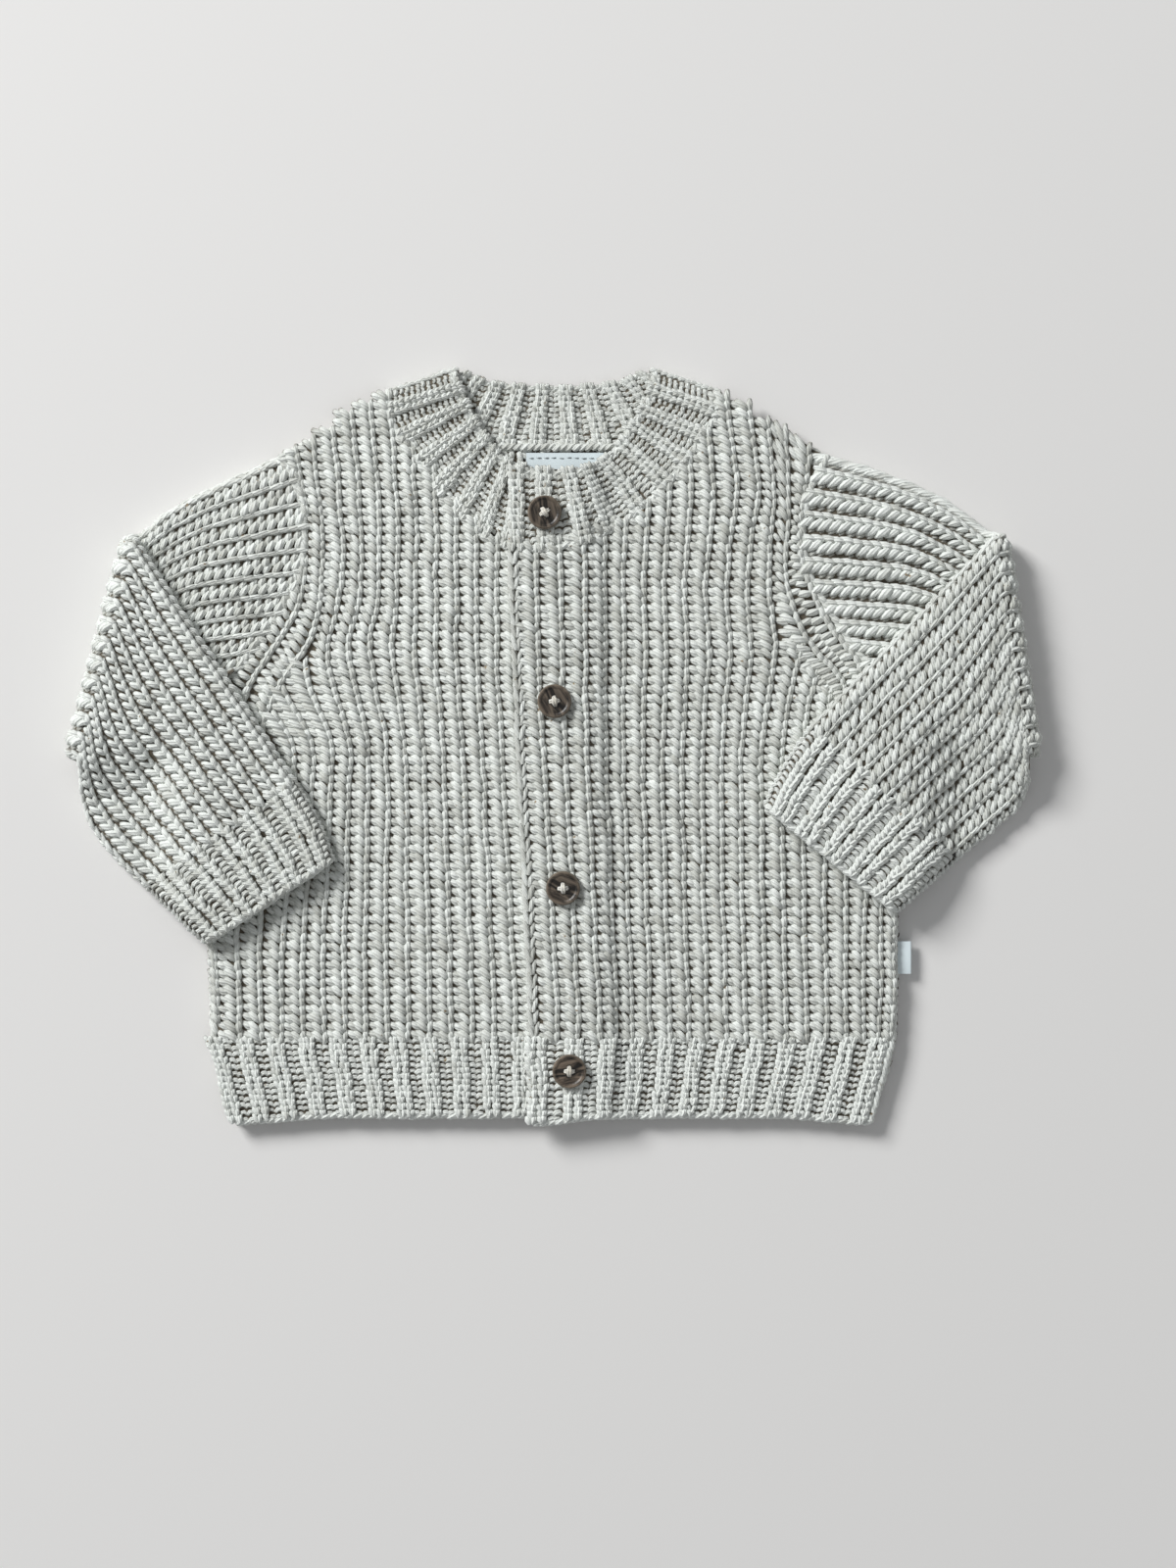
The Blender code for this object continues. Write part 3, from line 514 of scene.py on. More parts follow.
class Spinner:
    """Spins yarn round paths with a Geometry Nodes tree."""

    INPUTS = (
        ("Paths", "NodeSocketGeometry"),
        ("Sides", "NodeSocketInt"),
        ("Girth", "NodeSocketFloat"),
        ("Unevenness", "NodeSocketFloat"),
        ("Seed", "NodeSocketInt"),
        ("Yarn", "NodeSocketMaterial"),
    )
    GIRTH = 1.0  # share of the stored thickness
    UNEVENNESS = 0.00008  # metres by which the yarn strays from its path

    def __init__(self) -> None:
        """Builds the tree: paths to curves, shaken a little, swept with a section of the stored thickness."""
        tree = bpy.data.node_groups.new("yarn_spinner", "GeometryNodeTree")
        for name, kind in self.INPUTS:
            tree.interface.new_socket(name, in_out="INPUT", socket_type=kind)
        tree.interface.new_socket("Cloth", in_out="OUTPUT", socket_type="NodeSocketGeometry")
        add = partial(add_node, tree)
        given = add("NodeGroupInput").outputs
        position = add("GeometryNodeInputPosition")
        curves = add("GeometryNodeMeshToCurve", Mesh=given["Paths"])
        low, high = (-1.0, -1.0, -1.0), (1.0, 1.0, 1.0)
        shake = add("FunctionNodeRandomValue", data_type="FLOAT_VECTOR", i0=low, i1=high, Seed=given["Seed"])
        way = add("ShaderNodeVectorMath", operation="SCALE", i0=shake, Scale=given["Unevenness"])
        moved = add("GeometryNodeSetPosition", Geometry=curves, Offset=way)
        along = add("GeometryNodeCaptureAttribute")
        along.capture_items.new("FLOAT", "along")
        along.capture_items.new("VECTOR", "middle")
        length = add("GeometryNodeSplineParameter").outputs["Length"]
        set_node(tree, along, i0=moved, i1=length, i2=position)
        ring = add("GeometryNodeCurvePrimitiveCircle", Resolution=given["Sides"], Radius=1.0)
        section = add("GeometryNodeCaptureAttribute")
        section.capture_items.new("VECTOR", "round")
        set_node(tree, section, i0=ring, i1=position)
        thickness = add("GeometryNodeInputNamedAttribute", data_type="FLOAT", Name="thickness")
        girth = add("ShaderNodeMath", operation="MULTIPLY", i0=thickness, i1=given["Girth"])
        tube = add("GeometryNodeCurveToMesh", Curve=along, Profile_Curve=section, Scale=girth, Fill_Caps=True)
        split = add("ShaderNodeSeparateXYZ", Vector=section.outputs[1]).outputs
        spun = add("ShaderNodeCombineXYZ", X=split[0], Y=split[1], Z=along.outputs[1])
        vector = {"data_type": "FLOAT_VECTOR", "domain": "POINT"}
        scalar = {"data_type": "FLOAT", "domain": "POINT"}
        stored = add("GeometryNodeStoreNamedAttribute", **vector, Geometry=tube, Name="yarn_way", Value=spun)
        # How far each point stands out of the knit's face, in millimetres; the yarn's material paints shade by
        # it
        outward = add("GeometryNodeInputNamedAttribute", data_type="FLOAT_VECTOR", Name="outward")
        out = add("GeometryNodeInputNamedAttribute", data_type="FLOAT", Name="out")
        aside = add("ShaderNodeVectorMath", operation="SUBTRACT", i0=position, i1=along.outputs[2])
        rise = add("ShaderNodeVectorMath", operation="DOT_PRODUCT", i0=aside, i1=outward).outputs["Value"]
        depth = add("ShaderNodeMath", operation="MULTIPLY_ADD", i0=rise, i1=1 / MM, i2=out)
        deep = add("GeometryNodeStoreNamedAttribute", **scalar, Geometry=stored, Name="depth", Value=depth)
        smooth = add("GeometryNodeSetShadeSmooth", Geometry=deep)
        real = add("GeometryNodeRealizeInstances", Geometry=smooth)
        add("NodeGroupOutput", i0=add("GeometryNodeSetMaterial", Geometry=real, Material=given["Yarn"]))
        self.tree = tree
        inputs = [item for item in tree.interface.items_tree if item.in_out == "INPUT"]
        self.sockets = {item.name: item.identifier for item in inputs}

    def spin(self, paths: bpy.types.Mesh, sides: int, yarn: bpy.types.Material, seed: int) -> bpy.types.Mesh:
        """Spins yarn round every path of a mesh of edges.

        Args:
            paths: Edges with a thickness at each point.
            sides: Sides of the yarn's section.
            yarn: The yarn's material.
            seed: Seed of the unevenness.

        Returns:
            The plain mesh of the yarn.
        """
        holder = bpy.data.objects.new("paths", paths)
        bpy.context.collection.objects.link(holder)
        spun = holder.modifiers.new("spinner", "NODES")
        spun.node_group = self.tree
        given = {
            "Sides": sides,
            "Girth": self.GIRTH,
            "Unevenness": self.UNEVENNESS,
            "Seed": seed,
            "Yarn": yarn,
        }
        for name, value in given.items():
            spun[self.sockets[name]] = value
        bpy.context.view_layer.update()
        evaluated = holder.evaluated_get(bpy.context.evaluated_depsgraph_get())
        made = bpy.data.meshes.new_from_object(evaluated)
        bpy.data.objects.remove(holder)
        bpy.data.meshes.remove(paths)
        return made


class Drape:
    """How the lay rises and falls, over what lies on the back."""

    # Middle (x, y), half length, half width, turn in degrees, rise
    CREASES = (
        ((-133.0, 72.0), 26.0, 15.0, 38.0, 1.9),
        ((-113.0, 46.0), 22.0, 6.0, -58.0, -0.9),
        ((-106.0, 92.0), 24.0, 6.0, 84.0, -0.8),
        ((-158.0, 22.0), 46.0, 15.0, -52.0, 1.6),
        ((-140.0, -22.0), 34.0, 9.0, -48.0, 0.9),
        ((-124.0, 18.0), 40.0, 5.5, -55.0, 0.9),
        ((-120.0, -48.0), 16.0, 10.0, -50.0, 0.9),
        ((130.0, 76.0), 27.0, 14.0, -30.0, 1.7),
        ((112.0, 50.0), 20.0, 6.0, 60.0, -0.9),
        ((105.0, 94.0), 22.0, 6.0, -84.0, -0.7),
        ((156.0, 26.0), 44.0, 16.0, 52.0, 1.6),
        ((137.0, -12.0), 30.0, 8.0, 44.0, 1.0),
        ((120.0, 22.0), 40.0, 5.0, 48.0, 0.9),
        ((-88.0, 8.0), 46.0, 9.0, 96.0, 0.9),
        ((-66.0, -52.0), 38.0, 12.0, 84.0, -0.7),
        ((-40.0, 40.0), 52.0, 9.0, 92.0, 0.6),
        ((-104.0, -86.0), 26.0, 10.0, 80.0, 0.7),
        ((42.0, -22.0), 58.0, 10.0, 88.0, 0.7),
        ((72.0, 34.0), 40.0, 9.0, 82.0, -0.7),
        ((88.0, -62.0), 34.0, 11.0, 95.0, 0.9),
        ((60.0, -92.0), 24.0, 9.0, 100.0, -0.6),
        ((-60.0, 104.0), 26.0, 9.0, 60.0, 0.7),
        ((64.0, 106.0), 24.0, 9.0, -58.0, 0.8),
        ((0.0, -121.0), 150.0, 4.0, 0.0, -0.45),
    )
    # The same for hollows pressed into the underside
    UNDER_CREASES = (
        ((-84.0, 20.0), 52.0, 7.0, 96.0, 0.9),
        ((-30.0, -44.0), 44.0, 6.0, 82.0, 0.7),
        ((40.0, 26.0), 60.0, 8.0, 90.0, 0.8),
        ((92.0, -30.0), 46.0, 6.0, 78.0, 0.9),
        ((10.0, 84.0), 34.0, 7.0, 12.0, 0.7),
        ((-112.0, 62.0), 26.0, 6.0, 52.0, 0.8),
        ((114.0, 66.0), 24.0, 6.0, -50.0, 0.8),
    )

    @classmethod
    def rise(cls, points: np.ndarray) -> np.ndarray:
        """Millimetres by which points of the flat lay are raised."""
        x, y, z = points[..., 0], points[..., 1], points[..., 2]

        def total(creases: tuple) -> np.ndarray:
            made = np.zeros_like(x)
            for (middle_x, middle_y), length, width, turn, rise in creases:
                cos, sin = np.cos(np.radians(turn)), np.sin(np.radians(turn))
                along = ((x - middle_x) * cos + (y - middle_y) * sin) / length
                aside = ((y - middle_y) * cos - (x - middle_x) * sin) / width
                made += rise * np.exp(-(along**2) - aside**2)
            return made

        over = total(cls.CREASES) * smooth_step((z - WALL) / (LAYER + 1.0))
        return over + total(cls.UNDER_CREASES) * smooth_step(1.0 - z / (0.8 * WALL))


class Knitter:
    """Lays the loops of patterns on charts, and makes one mesh of them."""

    MEAN_OUT = -1.1  # where loops lie that a fold brings to one level
    NARROWEST = 0.42  # share of its gauge under which a repeat is left out
    SCALES = (0.8, 1.12)  # the least and the most that a narrow or wide repeat changes its loops
    UNEVEN = (0.02, 0.05, 0.15, 0.07)  # of a loop across, up, out and in thickness
    UNEVEN_TONE = 0.16
    FLOOR = 0.02  # how far above the surface the lowest yarn is pressed flat

    def __init__(self, name: str, seed: int, lightness: float = 0.0) -> None:
        """Starts a piece of knitting.

        Args:
            name: Name of the piece.
            seed: Seed of all that is uneven in it.
            lightness: How much lighter its yarn is painted than the rest, which is darker where it is below 0;
                painted light and shade over the whole piece.
        """
        self.name, self.seed, self.lightness = name, seed, lightness
        self.random = np.random.default_rng(seed)
        self.laid: dict[int, list[dict[str, np.ndarray]]] = {}

    def add(
        self,
        points: np.ndarray,
        thickness: np.ndarray,
        sides: int,
        out: np.ndarray | float = -0.5,
        outward: np.ndarray | tuple[float, float, float] = (0.0, 0.0, 1.0),
        tone: float = 0.5,
    ) -> None:
        """Keeps strands that all have as many points.

        Args:
            points: Strands as (strand, point, 3), in millimetres.
            thickness: Half thickness at each point.
            sides: Sides of the strands' section.
            out: How far each point stands out of the knit's face.
            outward: The way out of the face at each point.
            tone: How light the strands are, from 0 to 1.
        """
        shape = points.shape[:2]
        uneven = self.UNEVEN_TONE * self.random.normal(0.0, 1.0, (len(points), 1))
        strands = {
            "points": points,
            "thickness": np.broadcast_to(thickness * MM, shape),
            "tone": np.broadcast_to(np.clip(tone + self.lightness + uneven, 0.0, 1.0), shape),
            "out": np.broadcast_to(out, shape),
            "outward": np.broadcast_to(outward, points.shape),
        }
        self.laid.setdefault(sides, []).append(strands)

    def lay(
        self,
        chart: Chart,
        cells: np.ndarray,
        rib: Rib,
        gauge: float = COLUMN,
        sink: float = 0.0,
        shift: float = 0.5,
    ) -> None:
        """Lays a pattern's loops on a chart.

        Args:
            chart: The face.
            cells: Middle of each repeat, as (column, row).
            rib: The pattern.
            gauge: Width of a repeat at which its loops have their own thickness.
            sink: Millimetres by which the loops lie deeper.
            shift: Where the middle of a repeat is in its loops' tables.
        """
        if not len(cells):
            return
        across, up = cells[:, 0:1], cells[:, 1:2]
        spans = chart.place(across + 0.5, up, 0.0) - chart.place(across - 0.5, up, 0.0)
        widths = np.linalg.norm(spans, axis=2)
        wide = widths[:, 0] > self.NARROWEST * gauge
        across, up, widths = across[wide], up[wide], widths[wide]
        scale = np.clip(widths / gauge, *self.SCALES)
        # Round a fold the loops lie closer to one level
        pressed = 0.6 * (1 - np.abs(chart.outward(across, up)[..., 2]))
        for loop in rib.value:
            way = np.array(loop.way)
            jitter = self.random.normal(0.0, 1.0, (4, len(across), 1)) * np.array(self.UNEVEN)[:, None, None]
            a = across - shift + way[:, 0] + jitter[0]
            b = up + way[:, 1] + jitter[1]
            out = way[:, 2] * (0.5 + 0.5 * scale) * (1 - pressed) + self.MEAN_OUT * pressed + jitter[2] - sink
            # The depth that the yarn's painted shade reads leaves out the sink, and round a fold it is held up
            # at the mean
            depth = np.where(pressed > 0.15, np.maximum(out + sink, self.MEAN_OUT), out + sink)
            thickness = way[:, 3] * scale * (1 + jitter[3])
            middles = a.mean(axis=1)
            kept = (middles > chart.columns[0] - 0.3) & (middles < chart.columns[-1] + 0.3)
            a, b, out, thickness = a[kept], b[kept], out[kept], thickness[kept]
            outward = chart.outward(a, b)
            self.add(chart.place(a, b, out), thickness, loop.sides, depth[kept], outward, loop.tone)

    @staticmethod
    def paths(blocks: list[dict[str, np.ndarray]]) -> bpy.types.Mesh:
        """Makes edges along blocks of strands, raised as the lay is, with what the spinner reads there."""

        def whole(name: str, width: int = 1) -> np.ndarray:
            return np.concatenate([block[name].reshape(-1, width) for block in blocks])

        points = whole("points", 3)
        points[:, 2] += Drape.rise(points)
        links, start = [], 0
        for block in blocks:
            count, length = block["tone"].shape
            first = start + np.arange(count)[:, None] * length + np.arange(length - 1)
            links.append(np.stack([first.ravel(), first.ravel() + 1], axis=1))
            start += count * length
        links = np.concatenate(links)
        made = bpy.data.meshes.new("paths")
        made.vertices.add(len(points))
        made.vertices.foreach_set("co", (points * MM).ravel())
        made.edges.add(len(links))
        made.edges.foreach_set("vertices", links.ravel())
        for name in ("thickness", "tone", "out"):
            made.attributes.new(name, "FLOAT", "POINT").data.foreach_set("value", whole(name).ravel())
        outward = made.attributes.new("outward", "FLOAT_VECTOR", "POINT")
        outward.data.foreach_set("vector", whole("outward", 3).ravel())
        return made

    def finish(self, spinner: Spinner, yarn: bpy.types.Material) -> bpy.types.Object:
        """Spins the strands and makes one object of them, pressed flat where it lies on the surface.

        Args:
            spinner: Spins the yarn.
            yarn: The yarn's material.

        Returns:
            The object, with its place in its mesh.
        """
        joined = bmesh.new()
        for sides, blocks in self.laid.items():
            spun = spinner.spin(self.paths(blocks), sides, yarn, self.seed)
            joined.from_mesh(spun)
            bpy.data.meshes.remove(spun)
        mesh = bpy.data.meshes.new(self.name)
        joined.to_mesh(mesh)
        joined.free()
        places = np.zeros(len(mesh.vertices) * 3, np.float32)
        mesh.vertices.foreach_get("co", places)
        places[2::3] = np.maximum(places[2::3], self.FLOOR * MM)
        mesh.vertices.foreach_set("co", places)
        for label in ("thickness", "out", "outward"):
            if label in mesh.attributes:
                mesh.attributes.remove(mesh.attributes[label])
        mesh.shade_smooth()
        LOG.info("%s: %d triangles", self.name, sum(len(face.vertices) - 2 for face in mesh.polygons))
        return new_piece(self.name, mesh, yarn)


# Finishes


def linear(colour: str) -> tuple[float, float, float, float]:
    """Turns an sRGB hex colour to the linear values that a shader takes.

    Args:
        colour: Six hex digits after a hash.

    Returns:
        Red, green, blue and a full alpha.
    """
    parts = [int(colour[i : i + 2], 16) / 255 for i in (1, 3, 5)]
    red, green, blue = (p / 12.92 if p <= 0.04045 else ((p + 0.055) / 1.055) ** 2.4 for p in parts)
    return red, green, blue, 1.0


def new_material(name: str) -> tuple[bpy.types.Material, Callable[..., bpy.types.Node]]:
    """Starts a material, and gives with it the function that adds a node to it."""
    made = bpy.data.materials.new(name)
    made.use_nodes = True
    return made, partial(add_node, made.node_tree)


def dressed(made: bpy.types.Material, **given: object) -> bpy.types.Material:
    """Fills or links the inputs of a material's shader, as set_node takes them."""
    set_node(made.node_tree, made.node_tree.nodes["Principled BSDF"], **given)
    return made


@dataclass(frozen=True)
class CottonYarn:
    """Soft spun cotton, undyed: matt, with a little fuzz that lights its edges, and plies that show; shade is
    painted into it deep between the loops.
    """

    name: str = "cotton_yarn"
    light: str = "#f6faf5"
    middle: str = "#cbcdc5"
    painted_shade: str = "#675d4e"
    fleck: str = "#9c8b70"
    darkest_shade_depth: float = -2.3  # millimetres below the face, where the painted shade between the loops is darkest
    # Millimetres below the face, above which no shade is painted
    unshaded_depth: float = -0.1
    plies: int = 6
    twist: float = 22.0  # millimetres of yarn for a full turn of its plies
    fibre: float = 9.0  # millimetres of yarn over which its fibres change
    patches: float = 160.0  # a metre, so that the cotton's tone changes every 6 mm
    flecks: float = 420.0  # a metre: bits of seed coat under 1 mm, 2.4 mm apart at the least
    roughness: float = 0.85

    def material(self) -> bpy.types.Material:
        """Makes the yarn's material."""
        made, add = new_material(self.name)
        place = add("ShaderNodeTexCoord").outputs["Object"]
        yarn_way = add("ShaderNodeAttribute", attribute_name="yarn_way").outputs["Vector"]
        tone = add("ShaderNodeAttribute", attribute_name="tone").outputs["Fac"]
        x, y, z = add("ShaderNodeSeparateXYZ", Vector=yarn_way).outputs
        turn = add("ShaderNodeMath", operation="ARCTAN2", i0=y, i1=x)
        turns = add("ShaderNodeMath", operation="MULTIPLY", i0=turn, i1=float(self.plies))
        pitch = 2 * np.pi * self.plies / (self.twist * MM)
        twist = add("ShaderNodeMath", operation="MULTIPLY_ADD", i0=z, i1=pitch, i2=turns)
        plies = add("ShaderNodeMath", operation="SINE", i0=twist)
        # Fibres are drawn long and thin; each strand starts elsewhere in the pattern
        own = add("ShaderNodeMath", operation="MULTIPLY_ADD", i0=z, i1=1 / (self.fibre * MM), i2=tone)
        fibre_way = add("ShaderNodeCombineXYZ", X=x, Y=y, Z=own)
        fibres = add("ShaderNodeTexNoise", Vector=fibre_way, Scale=6.5, Detail=4.0, Roughness=0.7)
        patches = add("ShaderNodeTexNoise", Vector=place, Scale=self.patches, Detail=2.0)
        flecks = add("ShaderNodeTexNoise", Vector=place, Scale=self.flecks, Detail=1.0)
        lightness = tone
        for part, share in ((patches, 0.65), (plies, 0.14), (fibres, 0.95)):
            lightness = add("ShaderNodeMath", operation="MULTIPLY_ADD", i0=part, i1=share, i2=lightness)
        lit = add("ShaderNodeMapRange", i0=lightness, i1=0.88, i2=1.55)
        body = add("ShaderNodeMix", data_type="RGBA", i0=lit, i6=linear(self.middle), i7=linear(self.light))
        mark = add("ShaderNodeMapRange", i0=flecks, i1=0.74, i2=0.8)
        flecked = add("ShaderNodeMix", data_type="RGBA", i0=mark, i6=body.outputs[2], i7=linear(self.fleck))
        # Painted shade: the deeper the yarn lies below the knit's face, the more it is mixed towards the shade
        # colour
        depth = add("ShaderNodeAttribute", attribute_name="depth").outputs["Fac"]
        limits = {"i1": self.darkest_shade_depth, "i2": self.unshaded_depth}
        unshaded_share = add("ShaderNodeMapRange", interpolation_type="SMOOTHSTEP", i0=depth, **limits)
        ends = {"i6": linear(self.painted_shade), "i7": flecked.outputs[2]}
        shaded = add("ShaderNodeMix", data_type="RGBA", i0=unshaded_share, **ends).outputs[2]
        relief = add("ShaderNodeMath", operation="MULTIPLY_ADD", i0=plies, i1=0.4, i2=fibres)
        bump = add("ShaderNodeBump", Strength=0.7, Distance=0.5 * MM, Height=relief)
        fuzz = {"Specular_IOR_Level": 0.25, "Sheen_Weight": 0.35, "Sheen_Roughness": 0.5}
        return dressed(made, Base_Color=shaded, Normal=bump, Roughness=self.roughness, **fuzz)


@dataclass(frozen=True)
class KnitGround:
    """The inside of the knit between its loops: the same cotton, painted dark as the shade that fills the
    gaps.
    """

    name: str = "knit_ground"
    # Dark colours: painted shade of the gaps between the loops
    light: str = "#746c5d"
    dark: str = "#564f43"
    fibres: float = 1400.0  # a metre: fibre ends 0.7 mm apart

    def material(self) -> bpy.types.Material:
        """Makes the ground's material."""
        made, add = new_material(self.name)
        place = add("ShaderNodeTexCoord").outputs["Object"]
        fibres = add("ShaderNodeTexNoise", Vector=place, Scale=self.fibres, Detail=3.0)
        colour = add("ShaderNodeMix", data_type="RGBA", i0=fibres, i6=linear(self.dark), i7=linear(self.light))
        bump = add("ShaderNodeBump", Strength=0.6, Distance=0.4 * MM, Height=fibres)
        return dressed(made, Base_Color=colour.outputs[2], Normal=bump, Roughness=0.95)


@dataclass(frozen=True)
class TurnedWood:
    """Brown horn-like wood, turned and polished: slanting light and dark grain, satin, with a paler rim."""

    name: str
    middle: tuple[float, float]
    turn: float
    dark: str = "#181410"
    light: str = "#695e52"
    rim: str = "#857767"
    grain: float = 110.0  # a metre along the grain, so that its streaks are 9 mm long
    streak: float = 4.5  # how many times longer than wide they are
    pores: float = 700.0  # a metre: 1.4 mm apart
    worn: tuple[float, float] = (5.7, 6.7)  # radii between which the edge is worn paler

    def material(self) -> bpy.types.Material:
        """Makes the button's material."""
        made, add = new_material(self.name)
        place = add("ShaderNodeTexCoord").outputs["Object"]
        turned = {
            "Location": (self.middle[0] * MM, self.middle[1] * MM, 0.0),
            "Rotation": (0.0, 0.0, np.radians(35.0 + self.turn)),
        }
        centred = add("ShaderNodeMapping", vector_type="TEXTURE", Vector=place, **turned)
        long_way = add("ShaderNodeVectorMath", operation="MULTIPLY", i0=centred, i1=(1.0, self.streak, 1.0))
        streaks = {"Scale": self.grain, "Detail": 4.0, "Roughness": 0.6, "Distortion": 0.6}
        grain = add("ShaderNodeTexNoise", Vector=long_way, **streaks)
        bands = add("ShaderNodeMapRange", i0=grain, i1=0.45, i2=0.64)
        colour = add("ShaderNodeMix", data_type="RGBA", i0=bands, i6=linear(self.dark), i7=linear(self.light))
        flat = add("ShaderNodeVectorMath", operation="MULTIPLY", i0=centred, i1=(1.0, 1.0, 0.0))
        radius = add("ShaderNodeVectorMath", operation="LENGTH", i0=flat).outputs["Value"]
        worn = add("ShaderNodeMapRange", i0=radius, i1=self.worn[0] * MM, i2=self.worn[1] * MM, i4=0.55)
        colour = add("ShaderNodeMix", data_type="RGBA", i0=worn, i6=colour.outputs[2], i7=linear(self.rim))
        fine = add("ShaderNodeTexNoise", Vector=long_way, Scale=self.pores, Detail=2.0)
        bump = add("ShaderNodeBump", Strength=0.15, Distance=0.2 * MM, Height=fine)
        return dressed(made, Base_Color=colour.outputs[2], Normal=bump, Roughness=0.42)


@dataclass(frozen=True)
class WovenTape:
    """Bleached satin-woven tape: white, with fine threads across and a soft gloss."""

    name: str = "white_tape"
    light: str = "#f2fcff"
    dark: str = "#deedf1"
    thread: float = 0.5  # drawn coarser than its real 0.2 mm, to show

    def material(self) -> bpy.types.Material:
        """Makes the tape's material."""
        made, add = new_material(self.name)
        place = add("ShaderNodeTexCoord").outputs["Object"]
        split = add("ShaderNodeSeparateXYZ", Vector=place).outputs
        waves = []
        for way in split[:2]:
            run = add("ShaderNodeMath", operation="MULTIPLY", i0=way, i1=2 * np.pi / (self.thread * MM))
            waves.append(add("ShaderNodeMath", operation="SINE", i0=run))
        weave = add("ShaderNodeMath", operation="MULTIPLY", i0=waves[0], i1=waves[1])
        share = add("ShaderNodeMapRange", i0=weave, i1=-1.0, i2=1.0)
        colour = add("ShaderNodeMix", data_type="RGBA", i0=share, i6=linear(self.dark), i7=linear(self.light))
        bump = add("ShaderNodeBump", Strength=0.3, Distance=0.08 * MM, Height=weave)
        return dressed(made, Base_Color=colour.outputs[2], Normal=bump, Roughness=0.55)


@dataclass(frozen=True)
class PaperFloor:
    """Matt painted board: an even, pale surface with no gloss."""

    name: str = "pale_floor"
    colour: str = "#efeeec"

    def material(self) -> bpy.types.Material:
        """Makes the floor's material."""
        return dressed(new_material(self.name)[0], Base_Color=linear(self.colour), Roughness=0.9)


# Pieces


@dataclass
class Bench:
    """What every piece is made with."""

    spinner: Spinner
    yarn: bpy.types.Material
    ground: bpy.types.Material


@dataclass
class KnitPiece:
    """One knitted piece: a ground shell on the solid's form, and the yarn of its face."""

    node: str
    slot: Slot
    flat: tuple[float, float]
    area: float
    held: str
    rests_on: tuple[str, ...]
    seed: int
    # Painted light and shade over the whole piece: its yarn is painted lighter or darker than the rest
    lightness: float = 0.0

    CUT = 6.0  # size of the ground shell's faces
    INSET = 1.5  # how far it lies inside the solid
    LEVEL = 0.7  # height of its normal from which a face counts as a level one

    def ground(self, bench: Bench) -> bpy.types.Object:
        """Makes the ground shell from a copy of the solid, cut small enough to follow the lay."""
        shell = bmesh.new()
        shell.from_mesh(frame["nodes"][self.node].data)
        bmesh.ops.remove_doubles(shell, verts=shell.verts, dist=0.001 * MM)
        low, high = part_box(self.node)
        for axis, way in ((0, (1.0, 0.0, 0.0)), (1, (0.0, 1.0, 0.0))):
            for place in np.arange(low[axis] + 0.5 * self.CUT * MM, high[axis], self.CUT * MM):
                geometry = shell.verts[:] + shell.edges[:] + shell.faces[:]
                cut = [place * part for part in way]
                bmesh.ops.bisect_plane(shell, geom=geometry, plane_co=cut, plane_no=way)
        shell.normal_update()
        points = np.array([vert.co[:] for vert in shell.verts]) / MM
        ways = np.array([vert.normal[:] for vert in shell.verts]) * -self.INSET
        inset = 0.9 * self.INSET
        for way, vert in zip(ways, shell.verts):
            levels = [face.normal.z for face in vert.link_faces]
            if max(levels) > self.LEVEL:
                way[2] = min(way[2], -inset)
            # Slivers on the solid's very top may look down, and go in with the top
            if min(levels) < -self.LEVEL and vert.co.z < high.z - 0.05 * MM:
                way[2] = max(way[2], inset) if max(levels) <= self.LEVEL else 0.0
        points += ways
        points[:, 2] += Drape.rise(points)
        for vert, point in zip(shell.verts, points):
            vert.co = point * MM
        bmesh.ops.triangulate(shell, faces=[face for face in shell.faces if len(face.verts) > 4])
        mesh = bpy.data.meshes.new(self.node + "_ground")
        shell.to_mesh(mesh)
        shell.free()
        mesh.shade_smooth()
        surface = 0.5 * sum(face.area for face in mesh.polygons)
        LOG.info("%s: %.4f square metres of cloth, %d faces", mesh.name, surface, len(mesh.polygons))
        return new_piece(self.node + "_ground", mesh, bench.ground)

    def knit(self, knitter: Knitter) -> None:
        """Lays the piece's stitches."""
        raise NotImplementedError

    def build(self, bench: Bench) -> None:
        knitter = Knitter(self.node + "_yarn", self.seed, self.lightness)
        self.knit(knitter)
        yarn = knitter.finish(bench.spinner, bench.yarn)
        ground = self.ground(bench)
        attach(self.slot, ground, yarn)
        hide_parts(self.node)
        list(self.rests_on)


def edge_chain(
    knitter: Knitter, points: np.ndarray, step: float, thickness: float, lean: float = 0.8
) -> None:
    """Lays a bound edge: a rope of short leaning loops along a line.

    Args:
        knitter: Gets the loops.
        points: The line's (x, y, z) points.
        step: Distance from loop to loop.
        thickness: Half thickness of a loop at its middle.
        lean: How far a loop leans across the line.
    """
    run = run_along(points)
    count = max(int(run[-1] / step), 1)
    middles = (np.arange(count) + 0.5) * run[-1] / count
    strands = points_at(middles[:, None] + np.array([-0.75, -0.3, 0.3, 0.75]) * step, run, points)
    way = points_at(middles + 0.5, run, points) - points_at(middles - 0.5, run, points)
    way /= np.maximum(np.linalg.norm(way, axis=1, keepdims=True), 1e-9)
    aside = np.column_stack([-way[:, 1], way[:, 0], 0 * way[:, 0]])
    strands += aside[:, None] * np.array([-0.6, -0.2, 0.3, 0.6])[:, None] * lean
    strands += knitter.random.normal(0.0, 0.12, (count, 1, 3))
    uneven = 1 + 0.06 * knitter.random.normal(0.0, 1.0, (count, 1))
    half = thickness * np.array([0.6, 1.0, 1.0, 0.6]) * uneven
    knitter.add(strands, half, 6)


